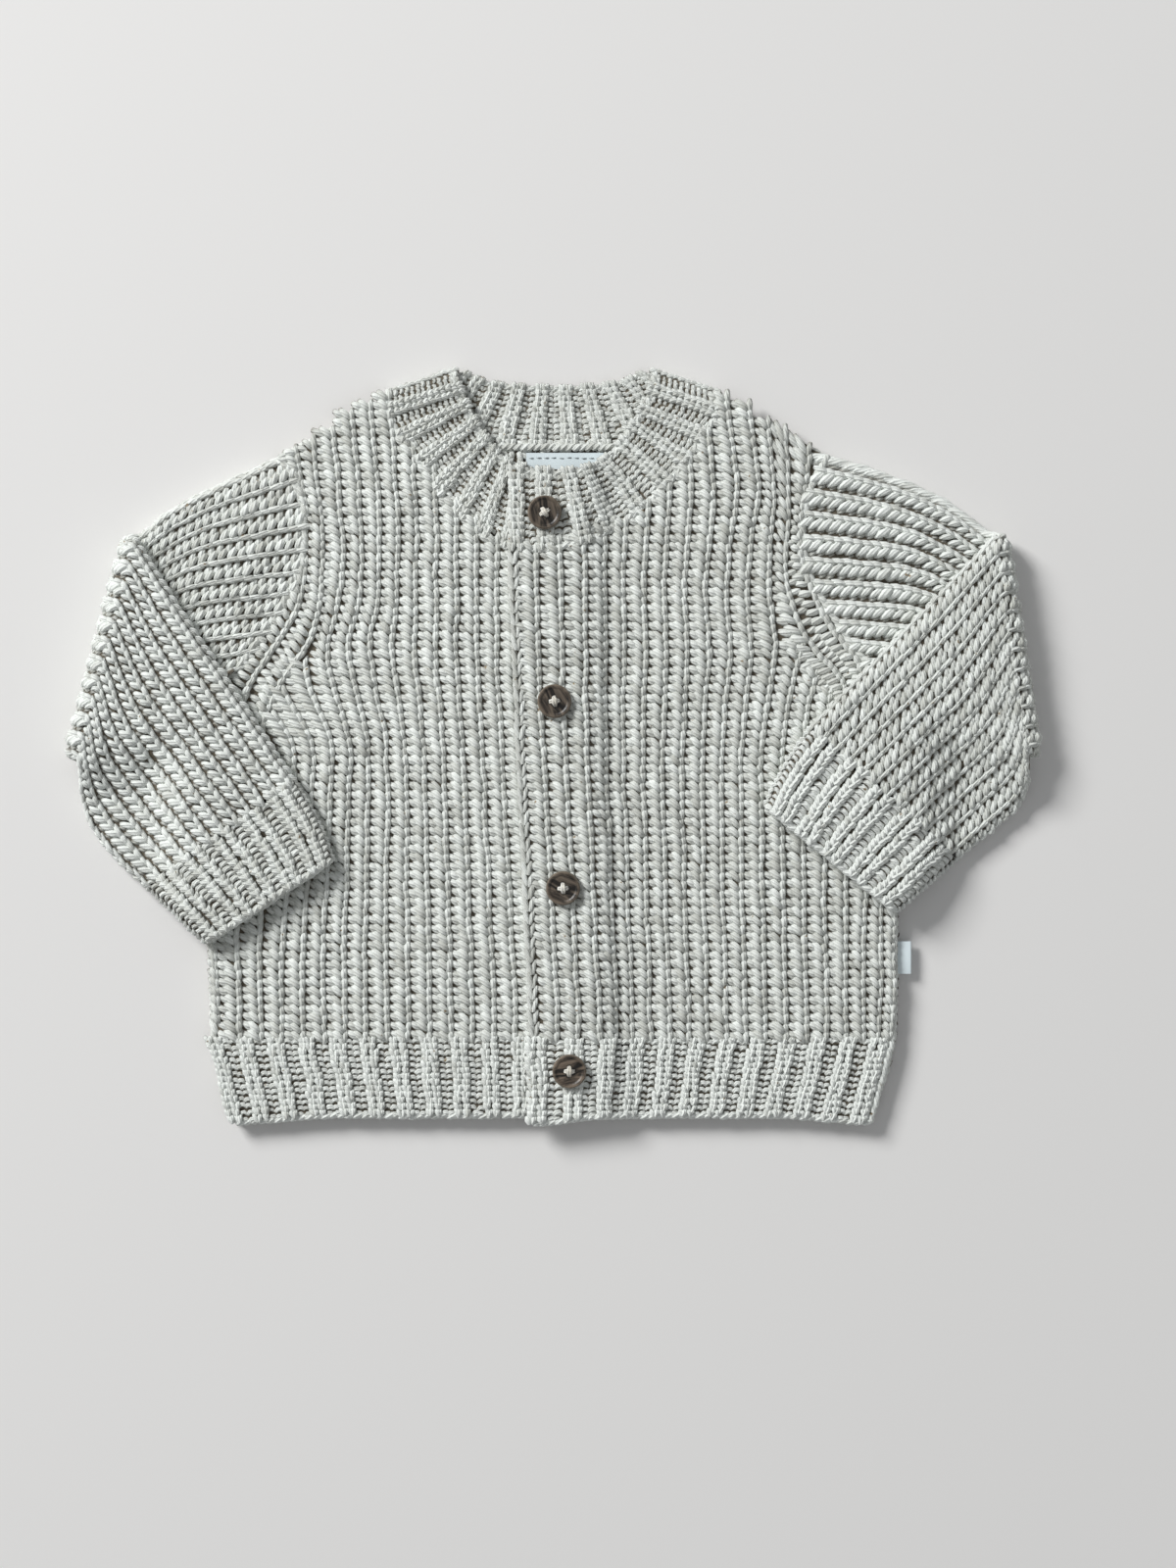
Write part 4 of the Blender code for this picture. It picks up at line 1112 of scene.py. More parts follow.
# Lines across a sleeve and its cuff as they lie, as (over x, over y, under x, under y), from the armhole on
RIGHT_ARM = (
    (137.0, 108.0, 160.0, 13.2),
    (158.0, 97.2, 178.0, 3.5),
    (170.3, 86.0, 194.8, -5.5),
    (152.0, 57.0, 192.8, -29.0),
    (130.5, 25.0, 181.0, -46.0),
    (104.6, -14.3, 168.0, -58.0),
    (94.8, -31.0, 155.2, -69.6),
    (89.1, -46.4, 142.3, -81.3),
)
LEFT_ARM = (
    (136.0, 112.0, 160.0, 13.4),
    (160.0, 102.0, 178.0, 4.0),
    (180.1, 86.5, 194.2, -5.0),
    (152.5, 57.5, 194.0, -22.0),
    (129.5, 34.0, 181.0, -34.5),
    (104.2, 8.0, 166.7, -46.6),
    (93.2, -8.5, 153.4, -57.6),
    (85.7, -24.3, 140.4, -68.5),
)
ARMS = {Side.RIGHT: RIGHT_ARM, Side.LEFT: LEFT_ARM}
FOLD_LINE = 2  # the line at which a sleeve folds forwards
CUFF_LINE = 5  # the line at which its cuff starts
ARMHOLE = (
    (112.8, 119.2),
    (105.6, 106.0),
    (102.3, 90.0),
    (103.9, 74.5),
    (110.6, 60.0),
    (121.2, 43.5),
    (132.4, 30.0),
    (141.8, 22.7),
)
SIDE_SEAM = ((130.4, -151.5), (139.0, -121.0), (140.2, -70.0), (140.4, -20.0), (140.6, 18.0))
SHOULDER_SEAM = ((111.8, 118.4), (88.0, 131.4), (66.4, 142.6))


def arm_outline(side: Side) -> np.ndarray:
    """The outline of the forearm and cuff that lie over a front."""
    lines = np.array(ARMS[side][FOLD_LINE:])
    return np.concatenate([lines[:, :2], lines[::-1, 2:]]) * (side, 1)


# Lines across the neckband, as (free x, free y, seam x, seam y)
NECK_RIBS_RIGHT = (
    (-38.9, 146.5, -68.2, 138.1),
    (-36.1, 140.1, -63.0, 126.4),
    (-32.5, 132.9, -54.2, 116.4),
    (-28.4, 126.4, -48.1, 104.7),
    (-24.0, 120.8, -38.9, 95.1),
    (-18.8, 116.0, -29.6, 86.6),
    (-13.2, 114.0, -18.8, 81.8),
    (-6.7, 113.2, -7.9, 80.6),
)
NECK_RIBS_LEFT = (
    (-15.2, 113.2, -15.2, 80.6),
    (-4.3, 112.8, -3.5, 80.6),
    (6.5, 112.8, 13.0, 83.8),
    (13.8, 114.0, 24.2, 89.0),
    (20.6, 117.6, 35.5, 97.1),
    (27.8, 124.8, 47.1, 107.9),
    (32.3, 132.1, 55.2, 117.6),
    (35.9, 138.1, 61.2, 128.0),
    (40.3, 146.9, 68.4, 137.3),
)
NECKBAND_BACK = (
    (40.6, 152.6, 67.2, 143.9),
    (36.0, 153.5, 56.2, 134.9),
    (27.0, 150.0, 42.0, 126.9),
    (14.0, 148.4, 20.0, 124.5),
    (0.0, 147.9, 0.0, 124.4),
)


@dataclass
class Front(KnitPiece):
    """A front in fisherman's rib: upright columns, and a strip of columns along the side and armhole."""

    side: Side = Side.LEFT
    guides: tuple[int, ...] = ()  # numbers of the columns that the levels place
    levels: tuple = ()  # y, and x of each of those columns
    strip: tuple = ()  # the strip's rungs
    neck: tuple = ()  # its seam with the neckband, from the shoulder down
    edge: tuple = ()  # how far the upright columns reach towards the free edge, from the neck down

    LOW = -121.6  # y at which the columns start
    TUCK = 3.2  # how far the columns run on under what they are joined to
    SHOULDER_TUCK = 1.8
    SHOULDER = 124.0

    def outline(self) -> np.ndarray:
        """What the upright columns fill: up the strip's inner edge, along the neck and down the free edge."""
        inner = [rung[0 if self.side is Side.LEFT else -1] for rung in self.strip]
        tip = (self.side * NECKBAND_BACK[0][2], NECKBAND_BACK[0][3])
        return np.array([(inner[0][0], self.LOW), *inner[1:], tip, *self.neck, *self.edge])

    def top(self, x: np.ndarray, y: np.ndarray) -> np.ndarray:
        """Height of the front's face."""
        return FRONT_TOP + (climb(x, y) if self.side is Side.LEFT else 0.0 * x)

    def shown(self, points: np.ndarray) -> np.ndarray:
        """Which points aren't deep under what lies on the front."""
        shown = ~deep_inside(points, arm_outline(self.side), 11.0)
        if self.side is Side.RIGHT:
            shown &= points[:, 0] < band_edge(points[:, 1]) + 7.0
        return shown

    def knit(self, knitter: Knitter) -> None:
        """Lays the columns, the strip at the side, and the free edge's chain."""
        main = ladder([[(x, y) for x in xs] for y, xs in self.levels], np.array(self.guides), self.top)
        cells = main.cells()
        points = main.middles(cells)
        joined, shoulder = (near(points, self.outline(), tuck) for tuck in (self.TUCK, self.SHOULDER_TUCK))
        keep = np.where(points[:, 1] < self.SHOULDER, joined, shoulder) & self.shown(points)
        knitter.lay(main, cells[keep], Rib.FISHERMAN)
        strip = ladder(self.strip, np.arange(len(self.strip[0])), self.top)
        cells = strip.cells()
        knitter.lay(strip, cells[self.shown(strip.middles(cells))], Rib.FISHERMAN)
        seam = smooth_line(SIDE_SEAM[1:], 50) * (self.side, 1)
        edge_chain(knitter, at_height(seam, LAYER + 1.5), 3.6, 1.4)
        if self.side is Side.LEFT:
            ys = np.linspace(HEM_TOP, BAND_TOP - 1.0, 12)
            rungs = [[(band_edge(y) - 0.2, y), (band_edge(y) + 4.0, y)] for y in ys]
            chain = ladder(rungs, np.arange(2), self.top, 1.4 * ROW)
            knitter.lay(chain, chain.cells(), Rib.CHAIN, gauge=4.2)
            edge_chain(knitter, band_rail(ys, 0.9, 1.3), 4.0, 1.2)


@dataclass
class Hem(KnitPiece):
    """A hem in 2 by 2 rib, with its cast-on edge."""

    ribs: tuple[float, ...] = ()
    level: float = LAYER
    climbs: bool = False
    facing: Facing = Facing.UP
    ends: tuple[float, float] = (-SIDE_AT_CORNER, SIDE_AT_CORNER)  # X of the cast-on edge's ends
    sides: tuple[Side, ...] = tuple(Side)  # where it ends in a side seam

    MIDDLE = -9.0  # X of the rib that runs straight down
    DRAW = 0.935  # width of the cast-on edge to that of the hem's top

    def bottom(self, x: float) -> float:
        """Y of the cast-on edge, which dips at its side corners and at the left front's free edge."""
        corner = smooth_step((abs(x) / SIDE_AT_CORNER - 0.7) / 0.3)
        band = smooth_step(1.0 - abs(x - band_edge(HEM_CORNER)) / OVERLAP) if self.climbs else 0.0
        return HEM_MIDDLE + (HEM_CORNER - HEM_MIDDLE) * float(max(corner, band))

    def top(self, x: np.ndarray, y: np.ndarray) -> np.ndarray:
        """Height of the hem's face where it climbs."""
        return self.level + WALL + climb(x, y)

    def knit(self, knitter: Knitter) -> None:
        """Lays the ribs and the cast-on edge."""
        under = self.facing is Facing.DOWN
        tops = np.array(self.ribs)
        lows = self.MIDDLE + (tops - self.MIDDLE) * self.DRAW
        rungs = [[(low, self.bottom(low) + 0.8) for low in lows], [(x, HEM_TOP) for x in tops]]
        height = 0.0 if under else self.top if self.climbs else self.level + WALL
        chart = ladder(rungs, np.arange(len(tops)), height, RIB_ROW, self.facing, 0.0)
        cells = chart.cells(0.0)
        last = np.array([(chart.columns[-1], row) for row in np.unique(cells[:, 1])])
        cells = np.vstack([cells, last])
        if not self.climbs and not under:
            points = chart.middles(cells)
            cells = cells[points[:, 0] < band_edge(points[:, 1]) + 8.0]
        rib, sink = (Rib.TWO_BY_TWO_BACK, -0.3) if under else (Rib.TWO_BY_TWO, 0.0)
        knitter.lay(chart, cells, rib, RIB_REPEAT, sink, 0.0)
        xs = np.linspace(*self.ends, 60)
        levels = [self.level + (float(climb(x, -150.0)) if self.climbs else 0.0) + 1.6 for x in xs]
        cast_on = np.array([(x, self.bottom(x) + 1.2, z) for x, z in zip(xs, levels)])
        edge_chain(knitter, cast_on, 3.2, 1.45)
        for side in self.sides:
            ends = np.array([(SIDE_AT_CORNER - 0.4, HEM_CORNER + 1.2), SIDE_SEAM[1]])
            edge_chain(knitter, at_height(ends * (side, 1), self.level + 1.6), 3.2, 1.45)
        if self.climbs:
            ys = np.linspace(HEM_CORNER + 1.4, HEM_TOP, 12)
            edge_chain(knitter, band_rail(ys, 1.0, 1.5), 3.0, 1.5)
            # A second chain fills the way between the last rib and the side's chain
            ends = np.array([(SIDE_AT_CORNER - 2.5, HEM_CORNER + 2.4), (SIDE_SEAM[1][0] - 2.1, HEM_TOP)])
            edge_chain(knitter, at_height(ends, self.level + 2.2), 3.0, 1.25)


BACK_OUTLINE = (
    (139.6, -121.0),
    (141.2, -70.0),
    (141.5, -20.0),
    (141.8, 22.7),
    *ARMHOLE[::-1],
    (56.2, 134.9),
    (42.0, 126.9),
    (20.0, 124.5),
    (0.0, 124.4),
)


@dataclass
class Back(KnitPiece):
    """The back: its outer face rests on the surface, and its inner one shows inside the neck."""

    INSET = 0.9
    LABEL_MARGIN = (1.6, 2.6)  # how far round the neck label the loops are pressed down
    LABEL_SINK = 1.1

    def knit(self, knitter: Knitter) -> None:
        """Lays the outer face pressed flat, and the part of the inner face that shows."""
        half = np.array(BACK_OUTLINE)
        outline = np.concatenate([half, half[::-1] * (-1, 1)])
        rungs = level_rungs((HEM_TOP, 0.0, 150.0), np.linspace(141.0, -141.0, 36))
        under = ladder(rungs, np.arange(36), 0.0, ROW, Facing.DOWN)
        cells = under.cells()
        knitter.lay(under, cells[inside(under.middles(cells), outline)], Rib.FISHERMAN_BACK, sink=-0.4)
        inner = ladder(level_rungs((96.0, 110.0, 126.0), np.linspace(-56.0, 56.0, 15)), np.arange(15), WALL)
        cells = inner.cells()
        points = inner.middles(cells)
        low, high = (np.array(corner[:2]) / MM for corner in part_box("neck_label"))
        aside = np.abs(points[:, :2] - 0.5 * (low + high))
        label = np.all(aside < 0.5 * (high - low) + self.LABEL_MARGIN, axis=1)
        shown = inside(points, outline)
        knitter.lay(inner, cells[shown & ~label], Rib.FISHERMAN)
        knitter.lay(inner, cells[shown & label], Rib.FISHERMAN, sink=self.LABEL_SINK)
        for side in Side:
            for seam in (SIDE_SEAM, SHOULDER_SEAM):
                line = smooth_line(seam, 60) * (side, 1)
                for height, thickness in ((LAYER - 0.2, 1.6), (1.2, 1.3)):
                    edge_chain(knitter, at_height(line, height), 3.6, thickness)
        strip = np.array([(x, 122.9, WALL + 0.1) for x in np.linspace(-24.0, 46.0, 40)])
        edge_chain(knitter, strip, 2.6, 1.25, 1.6)
        beside = np.array([(-13.6, y, WALL - 0.4) for y in (104.0, 121.5)])
        edge_chain(knitter, beside, 3.0, 1.3)


@dataclass
class Neckband(KnitPiece):
    """The neckband in 2 by 2 rib, in one strip round the neck and over each shoulder."""

    INSET = 1.0
    TURNS = (0, 45, 90, 135, 180)  # degrees round the fold at a shoulder, from the front's face
    BEND = np.array([-0.4, -0.2, 0.0, 0.2, 0.4])  # columns there, from the fold's middle
    RADIUS = 0.5 * STACK
    LOW = 0.15  # row of the lowest stitches
    # Row, out and thickness of the free edge's chain and the seam's
    RAILS = ((-0.4, -1.5, 1.4), (-0.1, -1.0, 1.25))

    def fold(self, side: Side) -> list[np.ndarray]:
        """Lines from seam to free edge round the fold at a shoulder, from the front's face on."""
        free, seam = np.array(NECKBAND_BACK[0][:2]), np.array(NECKBAND_BACK[0][2:])
        along = (seam - free) / np.linalg.norm(seam - free)
        outward = np.array([-along[1], along[0]])
        made = []
        for angle in np.radians(self.TURNS):
            ends = (np.array([seam, free]) + outward * self.RADIUS * np.sin(angle)) * (side, 1)
            made.append(at_height(ends, self.RADIUS + self.RADIUS * np.cos(angle)))
        return made

    @staticmethod
    def lines(ribs: tuple, over: bool) -> list[np.ndarray]:
        """Lines from seam to free edge on a front, which may climb over the other one."""
        table = np.array(ribs)
        ends = np.stack([table[:, 2:], table[:, :2]], axis=1)
        height = np.full(ends.shape[:2], FRONT_TOP)
        if over:
            height += climb(ends[..., 0] - 2.0, BAND_TOP)
        return list(np.dstack([ends, height]))

    def knit(self, knitter: Knitter) -> None:
        """Lays both fronts with the folds, and the back's two faces."""
        lay = partial(knitter.lay, gauge=NECK_REPEAT, shift=0.0)
        count = len(NECK_RIBS_LEFT)
        right = [*self.fold(Side.RIGHT)[::-1], *self.lines(NECK_RIBS_RIGHT, False)]
        left = [*self.lines(NECK_RIBS_LEFT, True), *self.fold(Side.LEFT)]
        right_columns = [*self.BEND, *range(1, len(NECK_RIBS_RIGHT) + 1)]
        left_columns = [*range(count), *(count + self.BEND)]
        for side, made, columns in ((Side.RIGHT, right, right_columns), (Side.LEFT, left, left_columns)):
            chart = self.chart(made, columns, Facing.TURNING)
            cells = chart.cells(-columns[0], self.LOW)
            if side is Side.RIGHT:
                cells = cells[chart.middles(cells)[:, 0] < BAND_EDGE_AT_TOP + 7.0]
            lay(chart, cells, Rib.TWO_BY_TWO)
            for (row, out, thickness), start in zip(self.RAILS, (chart.rows[-1], 0.0)):
                rail = chart.rail(start + row, out, 80)
                if side is Side.RIGHT:
                    rail = rail[rail[:, 0] < BAND_EDGE_AT_TOP + 6.0]
                edge_chain(knitter, rail, 3.0, thickness)
        rows = np.array(NECKBAND_BACK)
        whole = np.concatenate([rows[:-1] * (-1, 1, -1, 1), rows[::-1]])
        fine = smooth_line(whole, 33)
        columns = np.linspace(0.0, 12.0, len(fine))
        inner = [at_height(line.reshape(2, 2)[::-1], WALL) for line in fine]
        chart = self.chart(inner, columns, Facing.UP)
        lay(chart, chart.cells(0.5, self.LOW), Rib.TWO_BY_TWO)
        outer = [at_height(line.reshape(2, 2)[::-1], 0.0) for line in fine[::-1]]
        chart = self.chart(outer, columns, Facing.DOWN)
        lay(chart, chart.cells(0.5, self.LOW), Rib.TWO_BY_TWO_BACK, sink=-0.3)
        edge_chain(knitter, at_height(fine[:, :2] - (0.0, 1.2), 0.5 * WALL), 3.0, 1.4)

    def chart(self, made: list[np.ndarray], columns: list[float] | np.ndarray, facing: Facing) -> Chart:
        """A chart from lines that each run from the seam to the free edge; one that turns is settled."""
        lines = np.array(made)
        shares = np.linspace(0.0, 1.0, 12)
        every = np.linspace(columns[0], columns[-1], 8 * len(made))
        rows = [lines[:, 0] * (1 - share) + lines[:, 1] * share for share in shares]
        grid = np.stack([points_at(every, columns, row) for row in rows])
        length = np.linalg.norm(grid[-1] - grid[0], axis=1).mean()
        if facing is Facing.TURNING:
            grid = settled(grid, self.node)
        return Chart(grid, shares * length / RIB_ROW, every, facing)


@dataclass
class Sleeve:
    """A sleeve and its cuff: a flattened tube from the armhole that folds forwards over the front."""

    side: Side
    columns: int = 24
    ribs: int = 11

    ROUND = 96  # points round the tube
    EDGE = 0.04  # share of the width that each rounded edge takes
    FACE = 0.45  # share of the columns on each face
    SUPPORT_SIDE = 148.5  # X past which nothing lies under the forearm
    SUPPORT_BLEND = 3.0
    DROP_RUN = 19.0  # length over which it sinks there to the surface

    def ring(self, turns: np.ndarray) -> tuple[np.ndarray, np.ndarray]:
        """Share across and height for places round the tube.

        The places run from the overarm edge over the upper face to the underarm edge and back underneath.
        """
        place = turns % 1.0
        edge = 0.5 - self.FACE
        bounds = np.cumsum([0.0, self.FACE, edge, self.FACE, edge])
        stretches = [place < bound for bound in bounds[1:4]]
        width = 1 - 2 * self.EDGE
        near_turn, far_turn = (np.pi * (place - bounds[number]) / edge for number in (1, 3))
        across = np.select(
            stretches,
            [
                self.EDGE + width * place / self.FACE,
                1 - self.EDGE + self.EDGE * np.sin(near_turn),
                1 - self.EDGE - width * (place - bounds[2]) / self.FACE,
            ],
            self.EDGE - self.EDGE * np.sin(far_turn),
        )
        level = np.select(
            stretches,
            [1.0 + 0 * place, 0.5 + 0.5 * np.cos(near_turn), 0.0 * place],
            0.5 - 0.5 * np.cos(far_turn),
        )
        return across, level * STACK

    def face(self, plan: np.ndarray, height: np.ndarray, turn: np.ndarray) -> np.ndarray:
        """Points of the folded tube from plan, height in the flat stack and turn over the fold."""
        fold = np.array(ARMS[self.side][FOLD_LINE])
        over, under = fold[:2], fold[2:]
        along = (under - over) / np.linalg.norm(under - over)
        fold_out = np.array([-along[1], along[0]])
        radius = FOLD_AXIS - height
        plan = plan + fold_out * (radius * np.sin(turn))[..., None]
        z = FOLD_AXIS - radius * np.cos(turn)
        start = np.array(ARMHOLE[-1])
        way = (under - start) / np.linalg.norm(under - start)
        past_arm = (plan - start) @ np.array([way[1], -way[0]])
        past_side = plan[..., 0] - self.SUPPORT_SIDE
        k = self.SUPPORT_BLEND
        span = -k * np.logaddexp(-past_side / k, -past_arm / k)
        z = z - (2 * FOLD_AXIS - STACK) * smooth_step(span / self.DROP_RUN) * turn / np.pi
        return np.dstack([self.side * plan[..., 0], plan[..., 1], z])

    @staticmethod
    def even_rows(grid: np.ndarray) -> tuple[np.ndarray, np.ndarray]:
        """Runs every column of points again at even steps of a millimetre from its first point.

        Args:
            grid: Points as (row, column, 3).

        Returns:
            The even points, straight on past the columns that end sooner, and the runs to the given points.
        """
        steps = np.linalg.norm(np.diff(grid, axis=0), axis=2)
        runs = np.vstack([np.zeros(grid.shape[1]), np.cumsum(steps, axis=0)])
        at = np.arange(0.0, runs[-1].max() + 1.0, 1.0)
        even = np.empty((len(at), grid.shape[1], 3))
        for column in range(grid.shape[1]):
            run = runs[:, column]
            way = grid[-1, column] - grid[-3, column]
            beyond = np.maximum(at - run[-1], 0.0)[:, None] * way / np.linalg.norm(way)
            even[:, column] = points_at(at, run, grid[:, column]) + beyond
        return even, runs

    def charts(self) -> list[tuple[Chart, np.ndarray, np.ndarray]]:
        """The sleeve's chart and the cuff's, each with the rows at which its columns fold over and end."""
        extra = self.ROUND // 8
        turns = np.arange(-extra, self.ROUND + extra + 1) / self.ROUND
        across, height = self.ring(turns)
        armhole = smooth_line(ARMHOLE, 200)
        run = run_along(armhole)
        first = points_at(across * run[-1], run, armhole) + (0.15, 0.0)
        table = np.array(ARMS[self.side])
        lines = table[:, None, :2] * (1 - across)[:, None] + table[:, None, 2:] * across[:, None]
        upper = smooth_line(np.concatenate([first[None], lines[: FOLD_LINE + 1]]), 25)
        lower = smooth_line(lines[FOLD_LINE : CUFF_LINE + 1], 25)
        wrist = smooth_line(lines[CUFF_LINE:], 13)
        fold = np.linspace(0, np.pi, 13)[1:-1]
        plan = np.concatenate([upper, np.repeat(upper[-1:], len(fold), axis=0), lower])
        angle = np.concatenate([np.zeros(len(upper)), fold, np.full(len(lower), np.pi)])
        folded = len(lower) + len(fold) // 2
        parts = (
            ("sleeve", plan, angle, SLEEVE_ROW, self.columns, folded),
            ("cuff", wrist, np.full(len(wrist), np.pi), RIB_ROW, self.ribs, len(wrist) - 1),
        )
        made = []
        for part, plan, angle, row, repeats, folded in parts:
            angles = np.repeat(angle[:, None], len(turns), axis=1)
            grid = self.face(plan, np.repeat(height[None], len(plan), axis=0), angles)
            # Rows count up towards the shoulder, and columns run to the right as seen from outside
            grid = grid[::-1, ::-1] if self.side is Side.LEFT else grid[::-1]
            even, runs = self.even_rows(grid)
            even = settled(even, f"{self.side.name.lower()}_{part}")
            chart = Chart(even, np.arange(len(even)) / row, turns * repeats, Facing.TURNING)
            made.append((chart, runs[folded] / row, runs[-1] / row))
        return made


@dataclass
class SleevePart(KnitPiece):
    """The knitted face of a sleeve or of its cuff."""

    sleeve: Sleeve | None = None
    is_cuff: bool = False

    BODY_SIDE = 150.0  # X within which the body lies under a forearm or covers it
    BODY_TOP = 4.0

    def knit(self, knitter: Knitter) -> None:
        """Lays the tube's stitches, all round, and the cuff's edge."""
        side = self.sleeve.side
        chart, folds, tops = self.sleeve.charts()[int(self.is_cuff)]
        repeats, first = (self.sleeve.ribs, 0.0) if self.is_cuff else (self.sleeve.columns, 0.5)
        across, up = np.meshgrid(np.arange(first, repeats), np.arange(0.4, chart.rows[-1] + 1.0))
        cells = np.column_stack([across.ravel(), up.ravel()])
        cells = cells[cells[:, 1] < np.interp(cells[:, 0], chart.columns, tops) + 0.3]
        points = chart.middles(cells)
        levels = [chart.outward(cells[:, 0] + aside, cells[:, 1])[:, 2] for aside in (-0.4, 0.0, 0.4)]
        down = np.all(np.array(levels) < -0.4, axis=0)
        upper = (cells[:, 1] > np.interp(cells[:, 0], chart.columns, folds)) & (not self.is_cuff)
        # What lies on the body or under the forearm can't be seen
        hidden = down & (np.abs(points[:, 0]) < self.BODY_SIDE) & (points[:, 2] > self.BODY_TOP)
        hidden |= ~down & upper & deep_inside(points, arm_outline(side), 9.0)
        fine, low = ~hidden & ~down, ~hidden & down
        if self.is_cuff:
            knitter.lay(chart, cells[fine], Rib.TWO_BY_TWO_CLOSED, RIB_REPEAT, 0.0, 0.0)
            knitter.lay(chart, cells[low], Rib.TWO_BY_TWO_BACK, RIB_REPEAT, 0.1, 0.0)
            places = np.linspace(0.0, float(repeats), 120)
            edge_chain(knitter, chart.place(places, np.full(120, 0.3), -1.4), 3.2, 1.5)
        else:
            # The two faces of the tube are knitted alike, but are stretched two ways
            open_part = upper if side is Side.LEFT else ~upper
            knitter.lay(chart, cells[fine & ~open_part], Rib.FISHERMAN)
            knitter.lay(chart, cells[fine & open_part], Rib.FISHERMAN_OPEN)
            knitter.lay(chart, cells[low], Rib.FISHERMAN_BACK, sink=0.2)
            seam = smooth_line(ARMHOLE, 60) * (side, 1)
            edge_chain(knitter, at_height(seam, FRONT_TOP - 1.6), 3.4, 1.7)


def thin_piece(
    name: str, top: np.ndarray, bottom: np.ndarray, finish: bpy.types.Material
) -> bpy.types.Object:
    """A closed thin piece between two faces, each a grid of points with X along its rows and Y up.

    Args:
        name: Name of the piece.
        top: Points of the upper face as (row, column, 3), in millimetres.
        bottom: Points of the lower face, likewise.
        finish: Its material.

    Returns:
        The object, with its place in its mesh.
    """
    rows, columns = top.shape[:2]
    index = np.arange(rows * columns).reshape(rows, columns)
    upper = np.stack([index[:-1, :-1], index[:-1, 1:], index[1:, 1:], index[1:, :-1]], axis=-1).reshape(-1, 4)
    ring = np.concatenate([index[0], index[1:, -1], index[-1, -2::-1], index[-2:0:-1, 0]])
    after = np.roll(ring, -1)
    count = rows * columns
    sides = np.column_stack([ring, ring + count, after + count, after])
    faces = np.concatenate([upper, upper[:, ::-1] + count, sides])
    points = np.concatenate([top.reshape(-1, 3), bottom.reshape(-1, 3)]) * MM
    mesh = bpy.data.meshes.new(name)
    mesh.from_pydata(points.tolist(), [], faces.tolist())
    mesh.shade_smooth()
    mesh.set_sharp_from_angle(angle=np.radians(50.0))
    return new_piece(name, mesh, finish)


@dataclass
class Labels:
    """The woven label inside the neck, sewn on at its top, and the folded tab in the side seam; both bare."""

    LIFT = 0.7  # how far the neck label lies on the knit, over the solid's top
    STITCH = 3.1
    DASH = 1.9
    TAPE = 0.3

    def neck(self, bench: Bench, tape: bpy.types.Material, thread: bpy.types.Material) -> None:
        """Makes the neck label, a little wavy, and its row of stitches."""
        low, high = (np.array(corner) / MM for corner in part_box("neck_label"))
        x, y = np.meshgrid(np.linspace(low[0], high[0], 41), np.linspace(low[1], high[1], 15))
        share = (y - low[1]) / (high[1] - low[1])
        level = high[2] + self.LIFT + 0.16 * np.sin(x / 2.6 + 0.4) * (1 - 0.7 * share) + 0.25 * (1 - share)
        top = np.dstack([x, y, level])
        label = thin_piece("neck_label_tape", top, top - (0.0, 0.0, 0.4), tape)
        knitter = Knitter("neck_label_stitches", 41)
        starts = np.arange(low[0] + 1.2, high[0] - self.DASH - 0.6, self.STITCH)
        strands = np.zeros((len(starts), 5, 3))
        strands[..., 0] = starts[:, None] + self.DASH * np.array([-0.15, 0.2, 0.5, 0.8, 1.15])
        strands[..., 1] = high[1] - 2.1 + 0.12 * knitter.random.normal(0.0, 1.0, (len(starts), 1))
        strands[..., 2] = high[2] + self.LIFT + np.array([-0.2, 0.1, 0.2, 0.1, -0.2])
        knitter.add(strands, np.array([0.16, 0.26, 0.28, 0.26, 0.16]), 6)
        stitches = knitter.finish(bench.spinner, thread)
        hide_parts("neck_label")
        attach(Slot.LABEL, label)
        attach(Slot.THREAD, stitches)

    def side(self, tape: bpy.types.Material) -> None:
        """Makes the tab: tape folded double, with its round fold outwards."""
        low, high = (np.array(corner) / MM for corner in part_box("side_label"))
        half = 0.5 * (high[2] - low[2])
        ys = np.linspace(low[1], high[1], 9)[:, None]
        bend = 0.3 * np.sin(np.pi * (ys - low[1]) / (high[1] - low[1]))

        def layer(radius: float) -> np.ndarray:
            run = np.linspace(low[0], high[0] - half, 12)
            turns = np.linspace(0.0, np.pi, 9)[1:-1]
            x = np.concatenate([run, high[0] - half + radius * np.sin(turns), run[::-1]])
            z = np.concatenate([0 * run + radius, radius * np.cos(turns), 0 * run - radius])
            lift = bend * (x - low[0]) / (high[0] - low[0])
            return np.dstack([x + 0 * ys, ys + 0 * x, 0.5 * (low[2] + high[2]) + z + lift])

        tab = thin_piece("side_label_tape", layer(half), layer(half - self.TAPE), tape)
        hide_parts("side_label")
        attach(Slot.LABEL, tab)

    def build(self, bench: Bench) -> None:
        """Makes both labels."""
        tape = WovenTape().material()
        thread = CottonYarn("sewing_thread", "#c9d1d4", "#aab4b8", "#98a1a5", plies=2, twist=3.0).material()
        self.neck(bench, tape, thread)
        self.side(tape)


